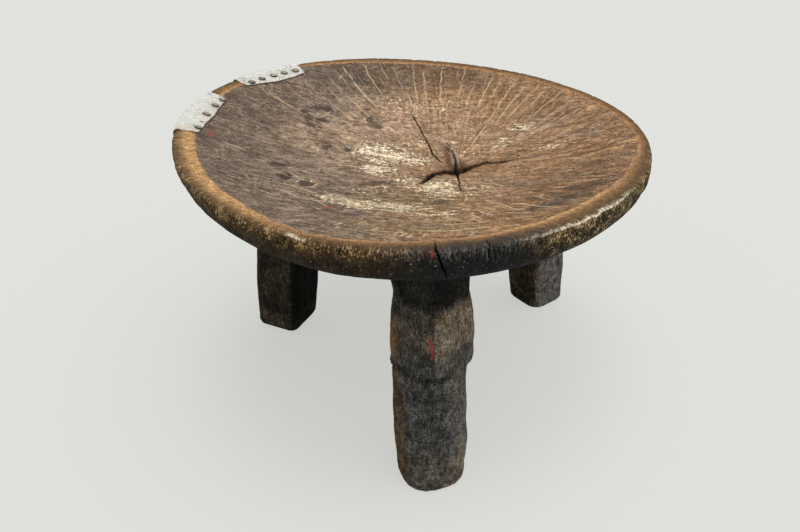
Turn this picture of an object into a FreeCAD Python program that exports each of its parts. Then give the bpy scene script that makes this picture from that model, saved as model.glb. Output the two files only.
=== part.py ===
import FreeCAD, Part
import math
import os

# Three-legged round stool, carved with its legs from one block of wood.
# Two sheet-metal patches are nailed over the rim. Millimetres and degrees, +Z up.
# The origin is on the floor, under the middle of the seat's outline.
# A bearing is an angle in plan, counted from the front (-Y) towards the right (+X).

# Seat, measured from the crest of the rim down. Its own frame has the crest at zero height.
seat_radius = 204.0
seat_height = 243.0
seat_tilt = 2.5
seat_lobe = 4.6
seat_lobe_bearing = -15.0
seat_oval = 1.4
seat_oval_bearing = 67.0
seat_depth = 57.0
dish_depth = 28.0
rim_band_width = 17.0
rim_band_drop = 2.6
crest_round = 3.5
dish_curve_power = 2.2

# Outside of the seat: share of the crest radius, share of the seat depth.
underside_shares = ((0.56, 1.0), (0.69, 0.86), (0.79, 0.735), (0.872, 0.635))
wall_shares = ((0.937, 0.545), (0.969, 0.455), (0.99, 0.34), (1.0, 0.19))
# Where the dish is sampled, as shares of its own radius.
dish_radius_shares = (1.0, 0.88, 0.74, 0.58, 0.40, 0.20)
ring_points = 18

# Legs. Inset is how far a foot's centre stands inside the crest, splay its lean outwards.
# Width is flat to flat, corner is the rounding of the squared section, facing the bearing of one corner.
# The section changes between the collar and the foot. Each corner is hewn in a few flats.
# The legs' common centre stands a little to the right of the seat's.
leg_shift = 5.1
corner_flats = 4
front_bearing = 3.8
front_inset = 40.3
front_splay = 5.4
front_width = 53.2
front_corner = 18.0
front_facing = 3.0
front_foot_width = 56.7
front_foot_corner = 21.7
front_foot_facing = -25.6
front_foot_round = 3.5

left_bearing = -112.0
left_inset = 51.2
left_splay = 6.7
left_width = 51.0
left_corner = 9.0
left_facing = 15.0
left_foot_width = 51.6
left_foot_corner = 9.8
left_foot_facing = 19.9
left_foot_round = 7.0

right_bearing = 125.6
right_inset = 37.3
right_splay = 5.4
right_width = 49.0
right_corner = 12.0
right_facing = -10.0
right_foot_width = 50.4
right_foot_corner = 14.0
right_foot_facing = -8.0
right_foot_round = 5.0

# Feet, and levels on the legs measured down from the crest. A leg ends level with the dish's floor.
foot_height = 40.0
neck_drop = 69.0
shoulder_drop = 88.0
collar_drop = 108.0
cuff_drop = 126.0
shaft_top_drop = 103.0
# Widths on the legs, as shares of the leg's own width.
foot_share = 0.96
shaft_share = 1.0
cuff_share = 1.045
collar_share = 1.06
shoulder_share = 1.025
neck_share = 0.955
leg_top_share = 1.04
collar_corner_share = 0.30
cuff_arch_share = 2.8

# Cracks round the pith, where the log dried and opened.
pith_x = 40.0
pith_y = -29.0
crack_width = 5.0
crack_depth = 13.0
slit_width = 3.2
fine_crack_width = 1.7
fine_crack_depth = 7.0
crack_reach = 74.0
crack_taper_power = 0.6
# Each path starts at the pith: shares of the reach, across and away from the front.
right_crack_shares = ((0.0, 0.0), (0.14, 0.08), (0.34, 0.19), (0.60, 0.24), (0.82, 0.30), (1.0, 0.38))
left_crack_shares = ((0.0, 0.0), (-0.13, -0.03), (-0.27, -0.05), (-0.40, -0.20), (-0.50, -0.31))
left_fork_shares = ((-0.27, -0.05), (-0.38, -0.13), (-0.53, -0.10))
back_slit_shares = ((0.0, -0.03), (-0.03, 0.20), (-0.05, 0.42), (-0.02, 0.64))
far_crack_shares = ((-0.08, 0.22), (-0.22, 0.42), (-0.29, 0.68), (-0.34, 0.98), (-0.43, 1.34), (-0.52, 1.64))
north_east_crack_shares = ((0.14, 0.56), (0.24, 0.74), (0.36, 0.95), (0.60, 1.36))
front_crack_shares = ((0.02, -0.05), (0.03, -0.25), (0.01, -0.48))

# Raised, worn lips on both sides of the slit at the pith.
lip_length = 52.0
lip_width = 18.0
lip_rise = 6.0
lip_turn = 92.0
lip_offset = 24.0
lip_sides = 14
# Half section of a lip, from its root: share of its half width, share of its rise.
lip_shares = ((1.0, -1.0), (1.0, 0.0), (0.87, 0.5), (0.5, 0.87), (0.2, 0.98))

# Checks that split the rim at the front.
rim_check_bearing = 6.2
rim_check_width = 2.4
rim_check_reach = 25.0
rim_check_lean = 7.0
rim_check_drop = 31.0
short_check_bearing = 15.5
short_check_width = 1.4
short_check_reach = 13.0
short_check_drop = 12.0

# Sheet-metal patches over the rim.
sheet_thickness = 0.9
sheet_gap = 0.15
patch_corner = 5.0
left_patch_start = -111.5
left_patch_end = -85.5
left_patch_inset = 24.0
left_patch_drop = 21.0
back_patch_start = -144.5
back_patch_end = -123.3
back_patch_inset = 23.5
back_patch_drop = 19.0
lost_nail_bearing = -92.6
lost_nail_radius = 1.0

# Nails. Inset is how far a row lies inside the crest, drop how far below it.
nail_sides = 12
shank_sides = 6
nail_head_radius = 3.1
nail_head_height = 1.1
nail_head_bevel = 0.45
nail_shank_radius = 1.25
nail_length = 17.0
nail_point = 3.5
nail_gap = 0.05
left_seat_nail_inset = 19.8
left_seat_nail_bearings = (-110.0, -105.3, -98.3, -88.4)
left_wall_nail_drop = 13.5
left_wall_nail_bearings = (-107.8, -101.8, -95.3, -90.8)
back_seat_nail_inset = 16.4
back_seat_nail_bearings = (-142.2, -138.2, -134.3, -129.9, -125.8)
back_wall_nail_drop = 12.5
back_wall_nail_bearings = (-140.2, -136.2, -132.1, -127.8)

# How far cutting solids run past what they cut.
overrun = 12.0


def vector(x, y, z):
    return FreeCAD.Vector(x, y, z)


def outwards(bearing):
    angle = math.radians(bearing)
    return vector(math.sin(angle), -math.cos(angle), 0)


def plan_point(bearing, radius, height=0.0):
    return outwards(bearing) * radius + vector(0, 0, height)


def outline_share(bearing):
    """How far the seat's outline stands out at a bearing, as a share of its mean radius."""
    lobes = seat_lobe * math.cos(math.radians(3 * (bearing - seat_lobe_bearing)))
    oval = seat_oval * math.cos(math.radians(2 * (bearing - seat_oval_bearing)))
    return 1 + (lobes + oval) / seat_radius


def ring(radius, height):
    """A closed level curve with the seat's outline, at a mean radius."""
    step = 360 / ring_points
    points = [plan_point(k * step, radius * outline_share(k * step), height) for k in range(ring_points)]
    curve = Part.BSplineCurve()
    curve.interpolate(Points=points, PeriodicFlag=True)
    return Part.Wire([curve.toShape()])


def crest_profile():
    """The rounding of the rim, from its wall to its band."""
    slope = math.degrees(math.atan(rim_band_drop / rim_band_width))
    centre = (seat_radius - crest_round, -crest_round)
    angles = [math.radians((90 + slope) * share) for share in (0.0, 0.5, 1.0)]
    return [(centre[0] + crest_round * math.cos(a), centre[1] + crest_round * math.sin(a)) for a in angles]


def dish_profile():
    """The hollow of the seat, from the inner edge of the rim's band to the middle."""
    radius = seat_radius - rim_band_width
    fall = dish_depth - rim_band_drop
    return [(radius * s, -rim_band_drop - fall * (1 - s**dish_curve_power)) for s in dish_radius_shares]


def seat_profile():
    """(radius, height) points from the underside round the rim to the middle of the dish."""
    outside = [(seat_radius * r, -seat_depth * d) for r, d in underside_shares + wall_shares]
    return outside + crest_profile() + dish_profile()


def grown(profile, skin):
    """A profile of (radius, height) points, moved outwards by skin."""
    moved = []
    for k, (radius, height) in enumerate(profile):
        before = profile[max(k - 1, 0)]
        after = profile[min(k + 1, len(profile) - 1)]
        run, rise = after[0] - before[0], after[1] - before[1]
        length = math.hypot(run, rise)
        moved.append((radius + skin * rise / length, height - skin * run / length))
    return moved


def hollowed_seat(skin=0.0):
    """The seat with its surface moved out by skin, in its own frame."""
    rings = [ring(radius, height) for radius, height in grown(seat_profile(), skin)]
    return Part.makeLoft(rings, True, True)


def on_legs(shape):
    """Puts a shape from the seat's own frame at its height and tilt on the legs."""
    placed = shape.copy()
    placed.rotate(vector(0, 0, 0), vector(0, 1, 0), seat_tilt)
    placed.translate(vector(0, 0, seat_height))
    return placed


def flat_sided(rings):
    """A solid with flat sides through closed rings of corners, the lowest ring first."""
    faces = [Part.Face(Part.makePolygon(corners)) for corners in (rings[0], rings[-1])]
    for low, high in zip(rings, rings[1:]):
        for k in range(len(low) - 1):
            side = [low[k], low[k + 1], high[k + 1], high[k], low[k]]
            faces.append(Part.Face(Part.makePolygon(side)))
    shell = Part.Shell(faces)
    shell.sewShape()
    solid = Part.Solid(Part.Shell(shell.Faces))
    if solid.Volume < 0:
        solid.reverse()
    return solid


def squared_section(centre, width, corner, turn):
    """Corners of a level square of that width, hewn round at its corners and turned in plan."""
    flat = width / 2 - corner
    points = []
    for k in range(4):
        for step in range(corner_flats + 1):
            angle = math.radians(90 * step / corner_flats)
            place = vector(flat + corner * math.cos(angle), flat + corner * math.sin(angle), 0)
            points.append(FreeCAD.Rotation(vector(0, 0, 1), turn + 90 * k).multVec(place) + centre)
    return points + points[:1]


class Leg:
    """One leg of the stool, from its foot on the floor up into the seat."""

    def __init__(self, stand, upper, foot):
        self.bearing, inset, self.splay = stand
        self.stance = seat_radius - inset
        self.width, self.corner, self.facing = upper
        self.foot_width, self.foot_corner, self.foot_facing, self.foot_round = foot

    def centre(self, height):
        radius = self.stance - height * math.tan(math.radians(self.splay))
        return plan_point(self.bearing, radius, height) + vector(leg_shift, 0, 0)

    def section(self, height, share, corner):
        return squared_section(self.centre(height), self.width * share, corner, self.facing - 45)

    def foot_section(self, height, share, inset=0.0):
        width = self.foot_width * share - 2 * inset
        return squared_section(self.centre(height), width, self.foot_corner - inset, self.foot_facing - 45)

    def sole(self):
        """The rounded edge of the foot, as sections from the floor up."""
        angles = [math.radians(a) for a in (0, 45, 90)]
        insets = [self.foot_round * (1 - math.sin(a)) for a in angles]
        heights = [self.foot_round * (1 - math.cos(a)) for a in angles]
        return [self.foot_section(h, foot_share, i) for h, i in zip(heights, insets)]

    def shaft(self):
        ankle = self.foot_section(foot_height, shaft_share)
        top = self.section(seat_height - shaft_top_drop, shaft_share, self.corner)
        return Part.makeLoft([Part.makePolygon(s) for s in self.sole() + [ankle, top]], True, True)

    def half_diagonal(self):
        corner = self.width * collar_corner_share
        return (self.width * collar_share / 2 - corner) * math.sqrt(2) + corner

    def collar(self):
        """The swelling under the seat, cut off below in an arch like a cuff."""
        arch = self.half_diagonal() * cuff_arch_share
        start = seat_height - cuff_drop - arch
        levels = (
            (start, shaft_share),
            (seat_height - cuff_drop, cuff_share),
            (seat_height - collar_drop, collar_share),
            (seat_height - shoulder_drop, shoulder_share),
            (seat_height - neck_drop, neck_share),
            (seat_height - dish_depth, leg_top_share),
        )
        corner = self.width * collar_corner_share
        solid = flat_sided([self.section(h, s, corner) for h, s in levels])
        base = self.centre(start) - plan_point(self.bearing, self.width)
        return solid.cut(Part.makeCylinder(arch, 2 * self.width, base, outwards(self.bearing)))

    def solid(self):
        return self.shaft().fuse(self.collar())


def crack_outline(path, width):
    """A slit's outline: full width where it opens and closed at its far end."""
    left, right = [], []
    last = len(path) - 1
    for k, point in enumerate(path):
        along = path[min(k + 1, last)] - path[max(k - 1, 0)]
        along.normalize()
        across = vector(-along.y, along.x, 0)
        half = width / 2 * (1 - k / last) ** crack_taper_power
        left.append(point + across * half)
        right.append(point - across * half)
    return left + right[last - 1 :: -1]


def crack(shares, width, depth):
    """Cutter for one drying crack in the dish, in the seat's own frame."""
    floor = -dish_depth - depth
    path = [
        vector(pith_x + crack_reach * across, pith_y + crack_reach * away, floor) for across, away in shares
    ]
    points = crack_outline(path, width)
    face = Part.Face(Part.makePolygon(points + points[:1]))
    return face.extrude(vector(0, 0, dish_depth + depth))


def dish_height(x, y):
    """Height of the dish's surface at a place in plan, in the seat's own frame."""
    radius = math.hypot(x, y) / outline_share(math.degrees(math.atan2(x, -y)))
    share = radius / (seat_radius - rim_band_width)
    return -rim_band_drop - (dish_depth - rim_band_drop) * (1 - share**dish_curve_power)


def cracks():
    wide = (right_crack_shares, left_crack_shares)
    fine = (left_fork_shares, far_crack_shares, north_east_crack_shares, front_crack_shares)
    cutters = [crack(s, crack_width, crack_depth) for s in wide]
    cutters.append(crack(back_slit_shares, slit_width, crack_depth))
    cutters += [crack(s, fine_crack_width, fine_crack_depth) for s in fine]
    return cutters


def pith_lips():
    """A low swelling along the slit at the pith, half sunk in the dish."""
    profile = [(lip_width / 2 * across, lip_rise * up) for across, up in lip_shares]
    swelling = prism(profile, lip_sides, lip_length / lip_width)
    swelling.rotate(vector(0, 0, 0), vector(0, 0, 1), lip_turn)
    x, y = pith_x, pith_y + lip_offset
    swelling.translate(vector(x, y, dish_height(x, y)))
    return swelling


def rim_check(bearing, width, reach, drop, lean):
    """Cutter for a wedge-shaped split in the rim, widest at the wall."""
    mouth = seat_radius + overrun
    tip = plan_point(bearing, seat_radius - reach, overrun)
    across = plan_point(bearing + 90, width * mouth / seat_radius)
    top = [tip, plan_point(bearing, mouth, overrun) - across, plan_point(bearing, mouth, overrun) + across]
    slope = plan_point(bearing + 90, lean)
    low = [p + slope + vector(0, 0, -overrun - drop) for p in top]
    wires = [Part.makePolygon(points + points[:1]) for points in (top, low)]
    return Part.makeLoft(wires, True, True)


def rim_checks():
    return [
        rim_check(rim_check_bearing, rim_check_width / 2, rim_check_reach, rim_check_drop, rim_check_lean),
        rim_check(short_check_bearing, short_check_width / 2, short_check_reach, short_check_drop, 0.0),
    ]


def patch_area(start, end, inset, drop):
    """Prism round the stretch of rim that a patch covers, with its inner corners rounded."""
    inner = seat_radius - inset
    outer = seat_radius + seat_lobe + overrun
    corners = [
        plan_point(start, outer * outline_share(start), -drop),
        plan_point(start, inner * outline_share(start), -drop),
        plan_point(end, inner * outline_share(end), -drop),
        plan_point(end, outer * outline_share(end), -drop),
    ]
    prism = Part.Face(Part.makePolygon(corners + corners[:1])).extrude(vector(0, 0, drop + overrun))
    upright = [
        e
        for e in prism.Edges
        if e.BoundBox.ZLength > drop and e.BoundBox.Center.Length < inner + inset / 2
    ]
    return prism.makeFillet(patch_corner, upright)


def polygon(radius, height, sides, stretch):
    """Corners of a regular polygon across the Z axis, stretched along X."""
    step = 2 * math.pi / sides
    turns = [k * step for k in range(sides)]
    points = [vector(radius * stretch * math.cos(t), radius * math.sin(t), height) for t in turns]
    return points + points[:1]


def prism(profile, sides, stretch=1.0):
    """A flat-sided solid through (radius, height) points, the lowest first."""
    return flat_sided([polygon(radius, height, sides, stretch) for radius, height in profile])


def nail():
    """A forged nail with a bevelled head; its head's underside is at the origin, its point below."""
    blunt = nail_shank_radius / 4
    shank = ((blunt, -nail_length), (nail_shank_radius, nail_point - nail_length), (nail_shank_radius, 0))
    bevel = nail_head_bevel
    head = (
        (nail_head_radius, 0),
        (nail_head_radius, nail_head_height - bevel),
        (nail_head_radius - 2 * bevel, nail_head_height),
    )
    return prism(head, nail_sides).fuse(prism(shank, shank_sides)).removeSplitter()


def nail_hole(radius, placement):
    bottom = -nail_length - nail_gap
    hole = prism(((radius, bottom), (radius, 2 * overrun)), shank_sides)
    hole.Placement = placement.multiply(hole.Placement)
    return hole


def set_on(skin, start, direction):
    """Where a line meets a skin, as a placement whose Z axis is the skin's outward normal."""
    line = Part.makeLine(start, start + direction * seat_radius)
    point = line.common(skin).Vertexes[0].Point
    for vertex in line.common(skin).Vertexes:
        if (vertex.Point - start).Length < (point - start).Length:
            point = vertex.Point
    probe = Part.Vertex(point)
    face = min(skin.Faces, key=lambda f: f.distToShape(probe)[0])
    u, v = face.Surface.parameter(point)
    normal = face.normalAt(u, v)
    turn = FreeCAD.Rotation(vector(0, 0, 1), normal)
    return FreeCAD.Placement(point + normal * nail_gap, turn)


def seat_nail_place(skin, bearing, inset):
    start = plan_point(bearing, (seat_radius - inset) * outline_share(bearing), overrun)
    return set_on(skin, start, vector(0, 0, -1))


def wall_nail_place(skin, bearing, drop):
    start = plan_point(bearing, seat_radius * outline_share(bearing) + overrun, -drop)
    return set_on(skin, start, -outwards(bearing))


def rows_of_nails(skin):
    """Each nail's name and place, in the seat's own frame."""
    places = {}
    for name, bearings, inset in (
        ("left_patch_seat_nail", left_seat_nail_bearings, left_seat_nail_inset),
        ("back_patch_seat_nail", back_seat_nail_bearings, back_seat_nail_inset),
    ):
        for k, bearing in enumerate(bearings, 1):
            places[f"{name}_{k}"] = seat_nail_place(skin, bearing, inset)
    for name, bearings, drop in (
        ("left_patch_wall_nail", left_wall_nail_bearings, left_wall_nail_drop),
        ("back_patch_wall_nail", back_wall_nail_bearings, back_wall_nail_drop),
    ):
        for k, bearing in enumerate(bearings, 1):
            places[f"{name}_{k}"] = wall_nail_place(skin, bearing, drop)
    return places


def build():
    """All pieces by name, in the seat's own frame where the seat carries them."""
    skin = hollowed_seat(sheet_gap + sheet_thickness)
    sheet = skin.cut(hollowed_seat(sheet_gap))
    places = rows_of_nails(skin)
    holes = Part.makeCompound([nail_hole(nail_shank_radius + 2 * nail_gap, p) for p in places.values()])
    lost = nail_hole(lost_nail_radius, seat_nail_place(skin, lost_nail_bearing, left_seat_nail_inset))

    left = patch_area(left_patch_start, left_patch_end, left_patch_inset, left_patch_drop)
    back = patch_area(back_patch_start, back_patch_end, back_patch_inset, back_patch_drop)
    pieces = {
        "left_rim_patch": on_legs(sheet.common(left).cut(holes).cut(lost)),
        "back_rim_patch": on_legs(sheet.common(back).cut(holes)),
    }
    for name, place in places.items():
        one = nail()
        one.Placement = place
        pieces[name] = on_legs(one)

    seat = hollowed_seat().fuse(pith_lips())
    for cutter in cracks() + rim_checks():
        seat = seat.cut(cutter)
    seat = on_legs(seat.cut(holes))
    legs = (
        Leg(
            (front_bearing, front_inset, front_splay),
            (front_width, front_corner, front_facing),
            (front_foot_width, front_foot_corner, front_foot_facing, front_foot_round),
        ),
        Leg(
            (left_bearing, left_inset, left_splay),
            (left_width, left_corner, left_facing),
            (left_foot_width, left_foot_corner, left_foot_facing, left_foot_round),
        ),
        Leg(
            (right_bearing, right_inset, right_splay),
            (right_width, right_corner, right_facing),
            (right_foot_width, right_foot_corner, right_foot_facing, right_foot_round),
        ),
    )
    for leg in legs:
        seat = seat.fuse(leg.solid())
    pieces["carved_seat_and_legs"] = seat
    return pieces


def middle_of(pieces):
    """The point on the floor under the middle of the whole stool's bounds."""
    bounds = Part.makeCompound(list(pieces)).optimalBoundingBox(False, False)
    return vector(bounds.Center.x, bounds.Center.y, 0.0)


os.makedirs("parts", exist_ok=True)
stool = build()
shift = middle_of(stool.values()) * -1
print("seat axis at", shift)
for piece_name, piece in stool.items():
    piece.translate(shift)
    piece.exportStep(f"parts/{piece_name}.step")
    print(piece_name, len(piece.Solids), "solids", round(piece.Volume), "mm3", piece.isValid())
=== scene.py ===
import math

import bmesh
import bpy
import numpy as np
from mathutils import Matrix, Vector


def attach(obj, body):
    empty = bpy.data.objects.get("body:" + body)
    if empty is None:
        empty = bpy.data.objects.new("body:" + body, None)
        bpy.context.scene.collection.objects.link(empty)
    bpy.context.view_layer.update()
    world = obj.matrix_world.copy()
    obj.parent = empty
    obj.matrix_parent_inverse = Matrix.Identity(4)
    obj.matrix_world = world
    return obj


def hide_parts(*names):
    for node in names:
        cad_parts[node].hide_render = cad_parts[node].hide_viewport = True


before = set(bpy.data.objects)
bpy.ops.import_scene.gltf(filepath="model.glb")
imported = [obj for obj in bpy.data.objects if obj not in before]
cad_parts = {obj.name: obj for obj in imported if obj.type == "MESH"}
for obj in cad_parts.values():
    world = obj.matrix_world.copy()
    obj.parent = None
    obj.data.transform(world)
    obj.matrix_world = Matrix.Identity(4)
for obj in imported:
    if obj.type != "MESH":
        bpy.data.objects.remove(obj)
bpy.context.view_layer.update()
print("frame loaded with", len(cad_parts), "nodes")

# camera, where the photograph was taken from
shot = {
    "place": (0.003321, -0.630398, 0.50138),
    "down": 0.5626,
    "turn": -0.0242,
    "roll": -0.0221,
    "lens": 34.843,
}


def added(name, data):
    # a new object in the scene
    piece = bpy.data.objects.new(name, data)
    bpy.context.scene.collection.objects.link(piece)
    return piece


def makeCamera(shot):
    data = bpy.data.cameras.new("camera")
    data.sensor_width = 36
    data.lens = shot["lens"]
    data.clip_start, data.clip_end = 0.01, 50
    right = Vector((math.cos(shot["turn"]), -math.sin(shot["turn"]), 0))
    ahead = Vector((math.sin(shot["turn"]) * math.cos(shot["down"]),
                    math.cos(shot["turn"]) * math.cos(shot["down"]), -math.sin(shot["down"])))
    up = right.cross(ahead)
    c, s = math.cos(shot["roll"]), math.sin(shot["roll"])
    side, top = right * c + up * s, up * c - right * s
    cam = added("camera", data)
    cam.matrix_world = Matrix.Translation(shot["place"]) @ Matrix((side, top, -ahead)).transposed().to_4x4()
    bpy.context.scene.camera = cam


makeCamera(shot)
bpy.context.scene.view_settings.view_transform = "Standard"


def tone(r, g, b):
    # a colour as a paint program gives it, turned into Blender's linear one
    parts = [c / 255 / 12.92 if c / 255 < 0.04045 else ((c / 255 + 0.055) / 1.055) ** 2.4 for c in (r, g, b)]
    return (*parts, 1.0)


class Wire:
    # what a node gives out, so that a material's sums read as plain sums

    def __init__(self, maker, socket):
        self.maker, self.socket = maker, socket

    def __add__(self, other):
        return self.maker.calc("ADD", self, other)

    def __radd__(self, other):
        return self.maker.calc("ADD", other, self)

    def __sub__(self, other):
        return self.maker.calc("SUBTRACT", self, other)

    def __rsub__(self, other):
        return self.maker.calc("SUBTRACT", other, self)

    def __mul__(self, other):
        return self.maker.calc("MULTIPLY", self, other)

    def __rmul__(self, other):
        return self.maker.calc("MULTIPLY", other, self)

    def __truediv__(self, other):
        return self.maker.calc("DIVIDE", self, other)


class Nodes:
    # short ways to wire a material or the world. A colour of three parts is a paint program's

    def __init__(self, owner, out="ShaderNodeOutputMaterial"):
        self.owner = owner
        owner.use_nodes = True
        self.tree = owner.node_tree
        self.tree.nodes.clear()
        self.out = self.tree.nodes.new(out)

    def plug(self, socket, value):
        if isinstance(value, Wire):
            self.tree.links.new(value.socket, socket)
        elif socket.type == "RGBA" and isinstance(value, tuple):
            socket.default_value = value if len(value) == 4 else tone(*value)
        elif socket.type in ("VECTOR", "RGBA") and isinstance(value, (int, float)):
            socket.default_value = (value,) * len(socket.default_value)
        else:
            socket.default_value = value

    def plugAll(self, node, values):
        for socket, value in zip(node.inputs, values):
            self.plug(socket, value)
        return Wire(self, node.outputs[0])

    def node(self, kind, settings=None, **inputs):
        node = self.tree.nodes.new(kind)
        for key, value in (settings or {}).items():
            setattr(node, key, value)
        for key, value in inputs.items():
            self.plug(node.inputs[key.replace("_", " ")], value)
        return node

    def take(self, name, kind, settings=None, **inputs):
        return Wire(self, self.node(kind, settings, **inputs).outputs[name])

    def calc(self, kind, *values):
        return self.plugAll(self.node("ShaderNodeMath", {"operation": kind}), values)

    def join(self, *values):
        return self.plugAll(self.node("ShaderNodeCombineXYZ"), values)

    def split(self, vector):
        node = self.node("ShaderNodeSeparateXYZ")
        self.plug(node.inputs[0], vector)
        return [Wire(self, socket) for socket in node.outputs]

    def value(self, name):
        return self.take("Fac", "ShaderNodeAttribute", {"attribute_name": name})

    def noise(self, place, size=1.0, detail=3.0, rough=0.55, bend=0.0):
        return self.take("Fac", "ShaderNodeTexNoise", Vector=place, Scale=size, Detail=detail,
                         Roughness=rough, Distortion=bend)

    def rise(self, *values):
        # value, from, to, and what it is there: 0 and 1 unless given
        return self.plugAll(self.node("ShaderNodeMapRange", {"interpolation_type": "SMOOTHSTEP"}), values)

    def spread(self, value, half=0.14):
        # a noise stretched to the whole way from 0 to 1
        return self.rise(value, 0.5 - half, 0.5 + half)

    def mix(self, share, first, second, kind="MIX"):
        node = self.node("ShaderNodeMix", {"data_type": "RGBA", "blend_type": kind, "clamp_factor": True})
        for place, value in ((0, share), (6, first), (7, second)):
            self.plug(node.inputs[place], value)
        return Wire(self, node.outputs[2])

    def ramp(self, share, stops):
        node = self.node("ShaderNodeValToRGB")
        elements = node.color_ramp.elements
        for place, colour in stops[1:-1]:
            elements.new(place)
        for element, (place, colour) in zip(elements, stops):
            element.position, element.color = place, colour if len(colour) == 4 else tone(*colour)
        self.plug(node.inputs[0], share)
        return [Wire(self, socket) for socket in node.outputs]

    def bump(self, height, distance, strength=1.0):
        return self.take("Normal", "ShaderNodeBump", Height=height, Distance=distance, Strength=strength)

    def either(self, share, first, second):
        node = self.node("ShaderNodeMixShader", Fac=share)
        self.tree.links.new(first.outputs[0], node.inputs[1])
        self.tree.links.new(second.outputs[0], node.inputs[2])
        return node

    def finish(self, shader):
        self.tree.links.new(shader.outputs[0], self.out.inputs[0])
        return self.owner


# floor and light: a big soft light overhead, and even light all round
studio = {
    "floorColour": (225, 226, 221),
    "floorShade": 0.30,      # how much of the shadow the camera sees
    # strength, softness in degrees, where it comes from
    "suns": [(1.15, 62, (0.26, -0.14, 1.0)), (0.62, 26, (0.0, 0.0, 1.0))],
    "allRound": 0.47,
}


def makeStudio(studio):
    pale = studio["floorColour"]
    bpy.ops.mesh.primitive_plane_add(size=24)
    floor = bpy.context.object
    floor.name = "floor"
    m = Nodes(bpy.data.materials.new("floor"))
    lit = m.node("ShaderNodeBsdfDiffuse", Color=pale)
    plain = m.node("ShaderNodeEmission", Color=pale, Strength=1.0)
    seen = m.take("Is Camera Ray", "ShaderNodeLightPath")
    floor.data.materials.append(m.finish(m.either(seen * (1 - studio["floorShade"]), lit, plain)))

    for strength, softness, origin in studio["suns"]:
        sun = bpy.data.lights.new("overhead", "SUN")
        sun.energy = strength
        sun.angle = math.radians(softness)
        added("overhead", sun).rotation_euler = Vector(origin).to_track_quat("Z", "Y").to_euler()

    bpy.context.scene.world = bpy.data.worlds.new("studio")
    m = Nodes(bpy.context.scene.world, "ShaderNodeOutputWorld")
    light = m.node("ShaderNodeBackground", Color=(1, 1, 1, 1), Strength=studio["allRound"])
    back = m.node("ShaderNodeBackground", Color=pale, Strength=1.0)
    seen = m.take("Is Camera Ray", "ShaderNodeLightPath")
    for name in ("Is Glossy Ray", "Is Transmission Ray"):
        seen = m.calc("MAXIMUM", seen, m.take(name, "ShaderNodeLightPath"))
    m.finish(m.either(seen, light, back))


makeStudio(studio)
print("camera, floor and light made")

# the seat's own axes: crest plane at zero, millimetres, leaning a little to the right
seat = {
    "radius": 204.0,
    "height": 243.0,
    "lean": 2.5,
    "axis": (-1.779, 3.122),
    "lobe": (4.6, -15.0),
    "oval": (1.4, 67.0),
    "depth": 57.0,
    "dishDepth": 28.0,
    "bandWidth": 17.0,
    "bandDrop": 2.6,
    "crestRound": 3.5,
    "hollowPower": 2.2,
    "pith": (40.0, -30.0),
}


def leaned(v, lean):
    # places or directions turned by the seat's lean
    c, s = math.cos(math.radians(lean)), math.sin(math.radians(lean))
    return np.stack([v[:, 0] * c - v[:, 2] * s, v[:, 1], v[:, 0] * s + v[:, 2] * c], 1)


def toSeat(places):
    # from Blender's metres to the seat's axes in millimetres
    return leaned(places * 1000 - (*seat["axis"], seat["height"]), seat["lean"])


def fromSeat(p):
    return (leaned(p, -seat["lean"]) + (*seat["axis"], seat["height"])) / 1000


def bearingOf(x, y):
    return np.degrees(np.arctan2(x, -y))


def outline(bearing):
    # share by which the rim stands out at a bearing
    lobes = seat["lobe"][0] * np.cos(np.radians(3 * (bearing - seat["lobe"][1])))
    oval = seat["oval"][0] * np.cos(np.radians(2 * (bearing - seat["oval"][1])))
    return 1 + (lobes + oval) / seat["radius"]


def dishHeight(level):
    inner = seat["radius"] - seat["bandWidth"]
    share = np.clip(level / inner, 0, 1)
    hollow = -seat["bandDrop"] - (seat["dishDepth"] - seat["bandDrop"]) * (1 - share ** seat["hollowPower"])
    band = -seat["bandDrop"] * np.clip((seat["radius"] - level) / seat["bandWidth"], 0, 1)
    return np.where(level < inner, hollow, band)


def step(low, high, value):
    t = np.clip((value - low) / (high - low), 0, 1)
    return t * t * (3 - 2 * t)


def softNoise(places, size, seed):
    # smooth random values from about -1 to 1, one bump every size
    chance = np.random.default_rng(seed)
    order = chance.permutation(256)
    order = np.concatenate([order, order, order])
    slopes = chance.normal(size=(256, 3))
    slopes /= np.linalg.norm(slopes, axis=1)[:, None]
    p = places / size
    cell = np.floor(p).astype(np.int64)
    f = p - cell
    w = f ** 3 * (f * (f * 6 - 15) + 10)
    total = np.zeros(len(p))
    for dx in (0, 1):
        for dy in (0, 1):
            for dz in (0, 1):
                i = order[(cell[:, 0] + dx) & 255]
                i = order[i + ((cell[:, 1] + dy) & 255)]
                i = order[i + ((cell[:, 2] + dz) & 255)]
                height = ((f - (dx, dy, dz)) * slopes[i]).sum(1)
                share = np.abs(1 - dx - w[:, 0]) * np.abs(1 - dy - w[:, 1]) * np.abs(1 - dz - w[:, 2])
                total += height * share
    return total * 1.6


def alongLine(x, y, line):
    # distance to a line of points, and how far along it from 0 to 1
    line = np.array(line, float)
    runs = np.linalg.norm(line[1:] - line[:-1], axis=1)
    starts = np.concatenate([[0], np.cumsum(runs)])
    best, where = np.full(len(x), 1e9), np.zeros(len(x))
    for k, (a, b) in enumerate(zip(line[:-1], line[1:])):
        d = b - a
        t = np.clip(((x - a[0]) * d[0] + (y - a[1]) * d[1]) / (d @ d), 0, 1)
        off = np.hypot(x - a[0] - t * d[0], y - a[1] - t * d[1])
        nearer = off < best
        best = np.where(nearer, off, best)
        where = np.where(nearer, (starts[k] + t * runs[k]) / starts[-1], where)
    return best, where


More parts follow.
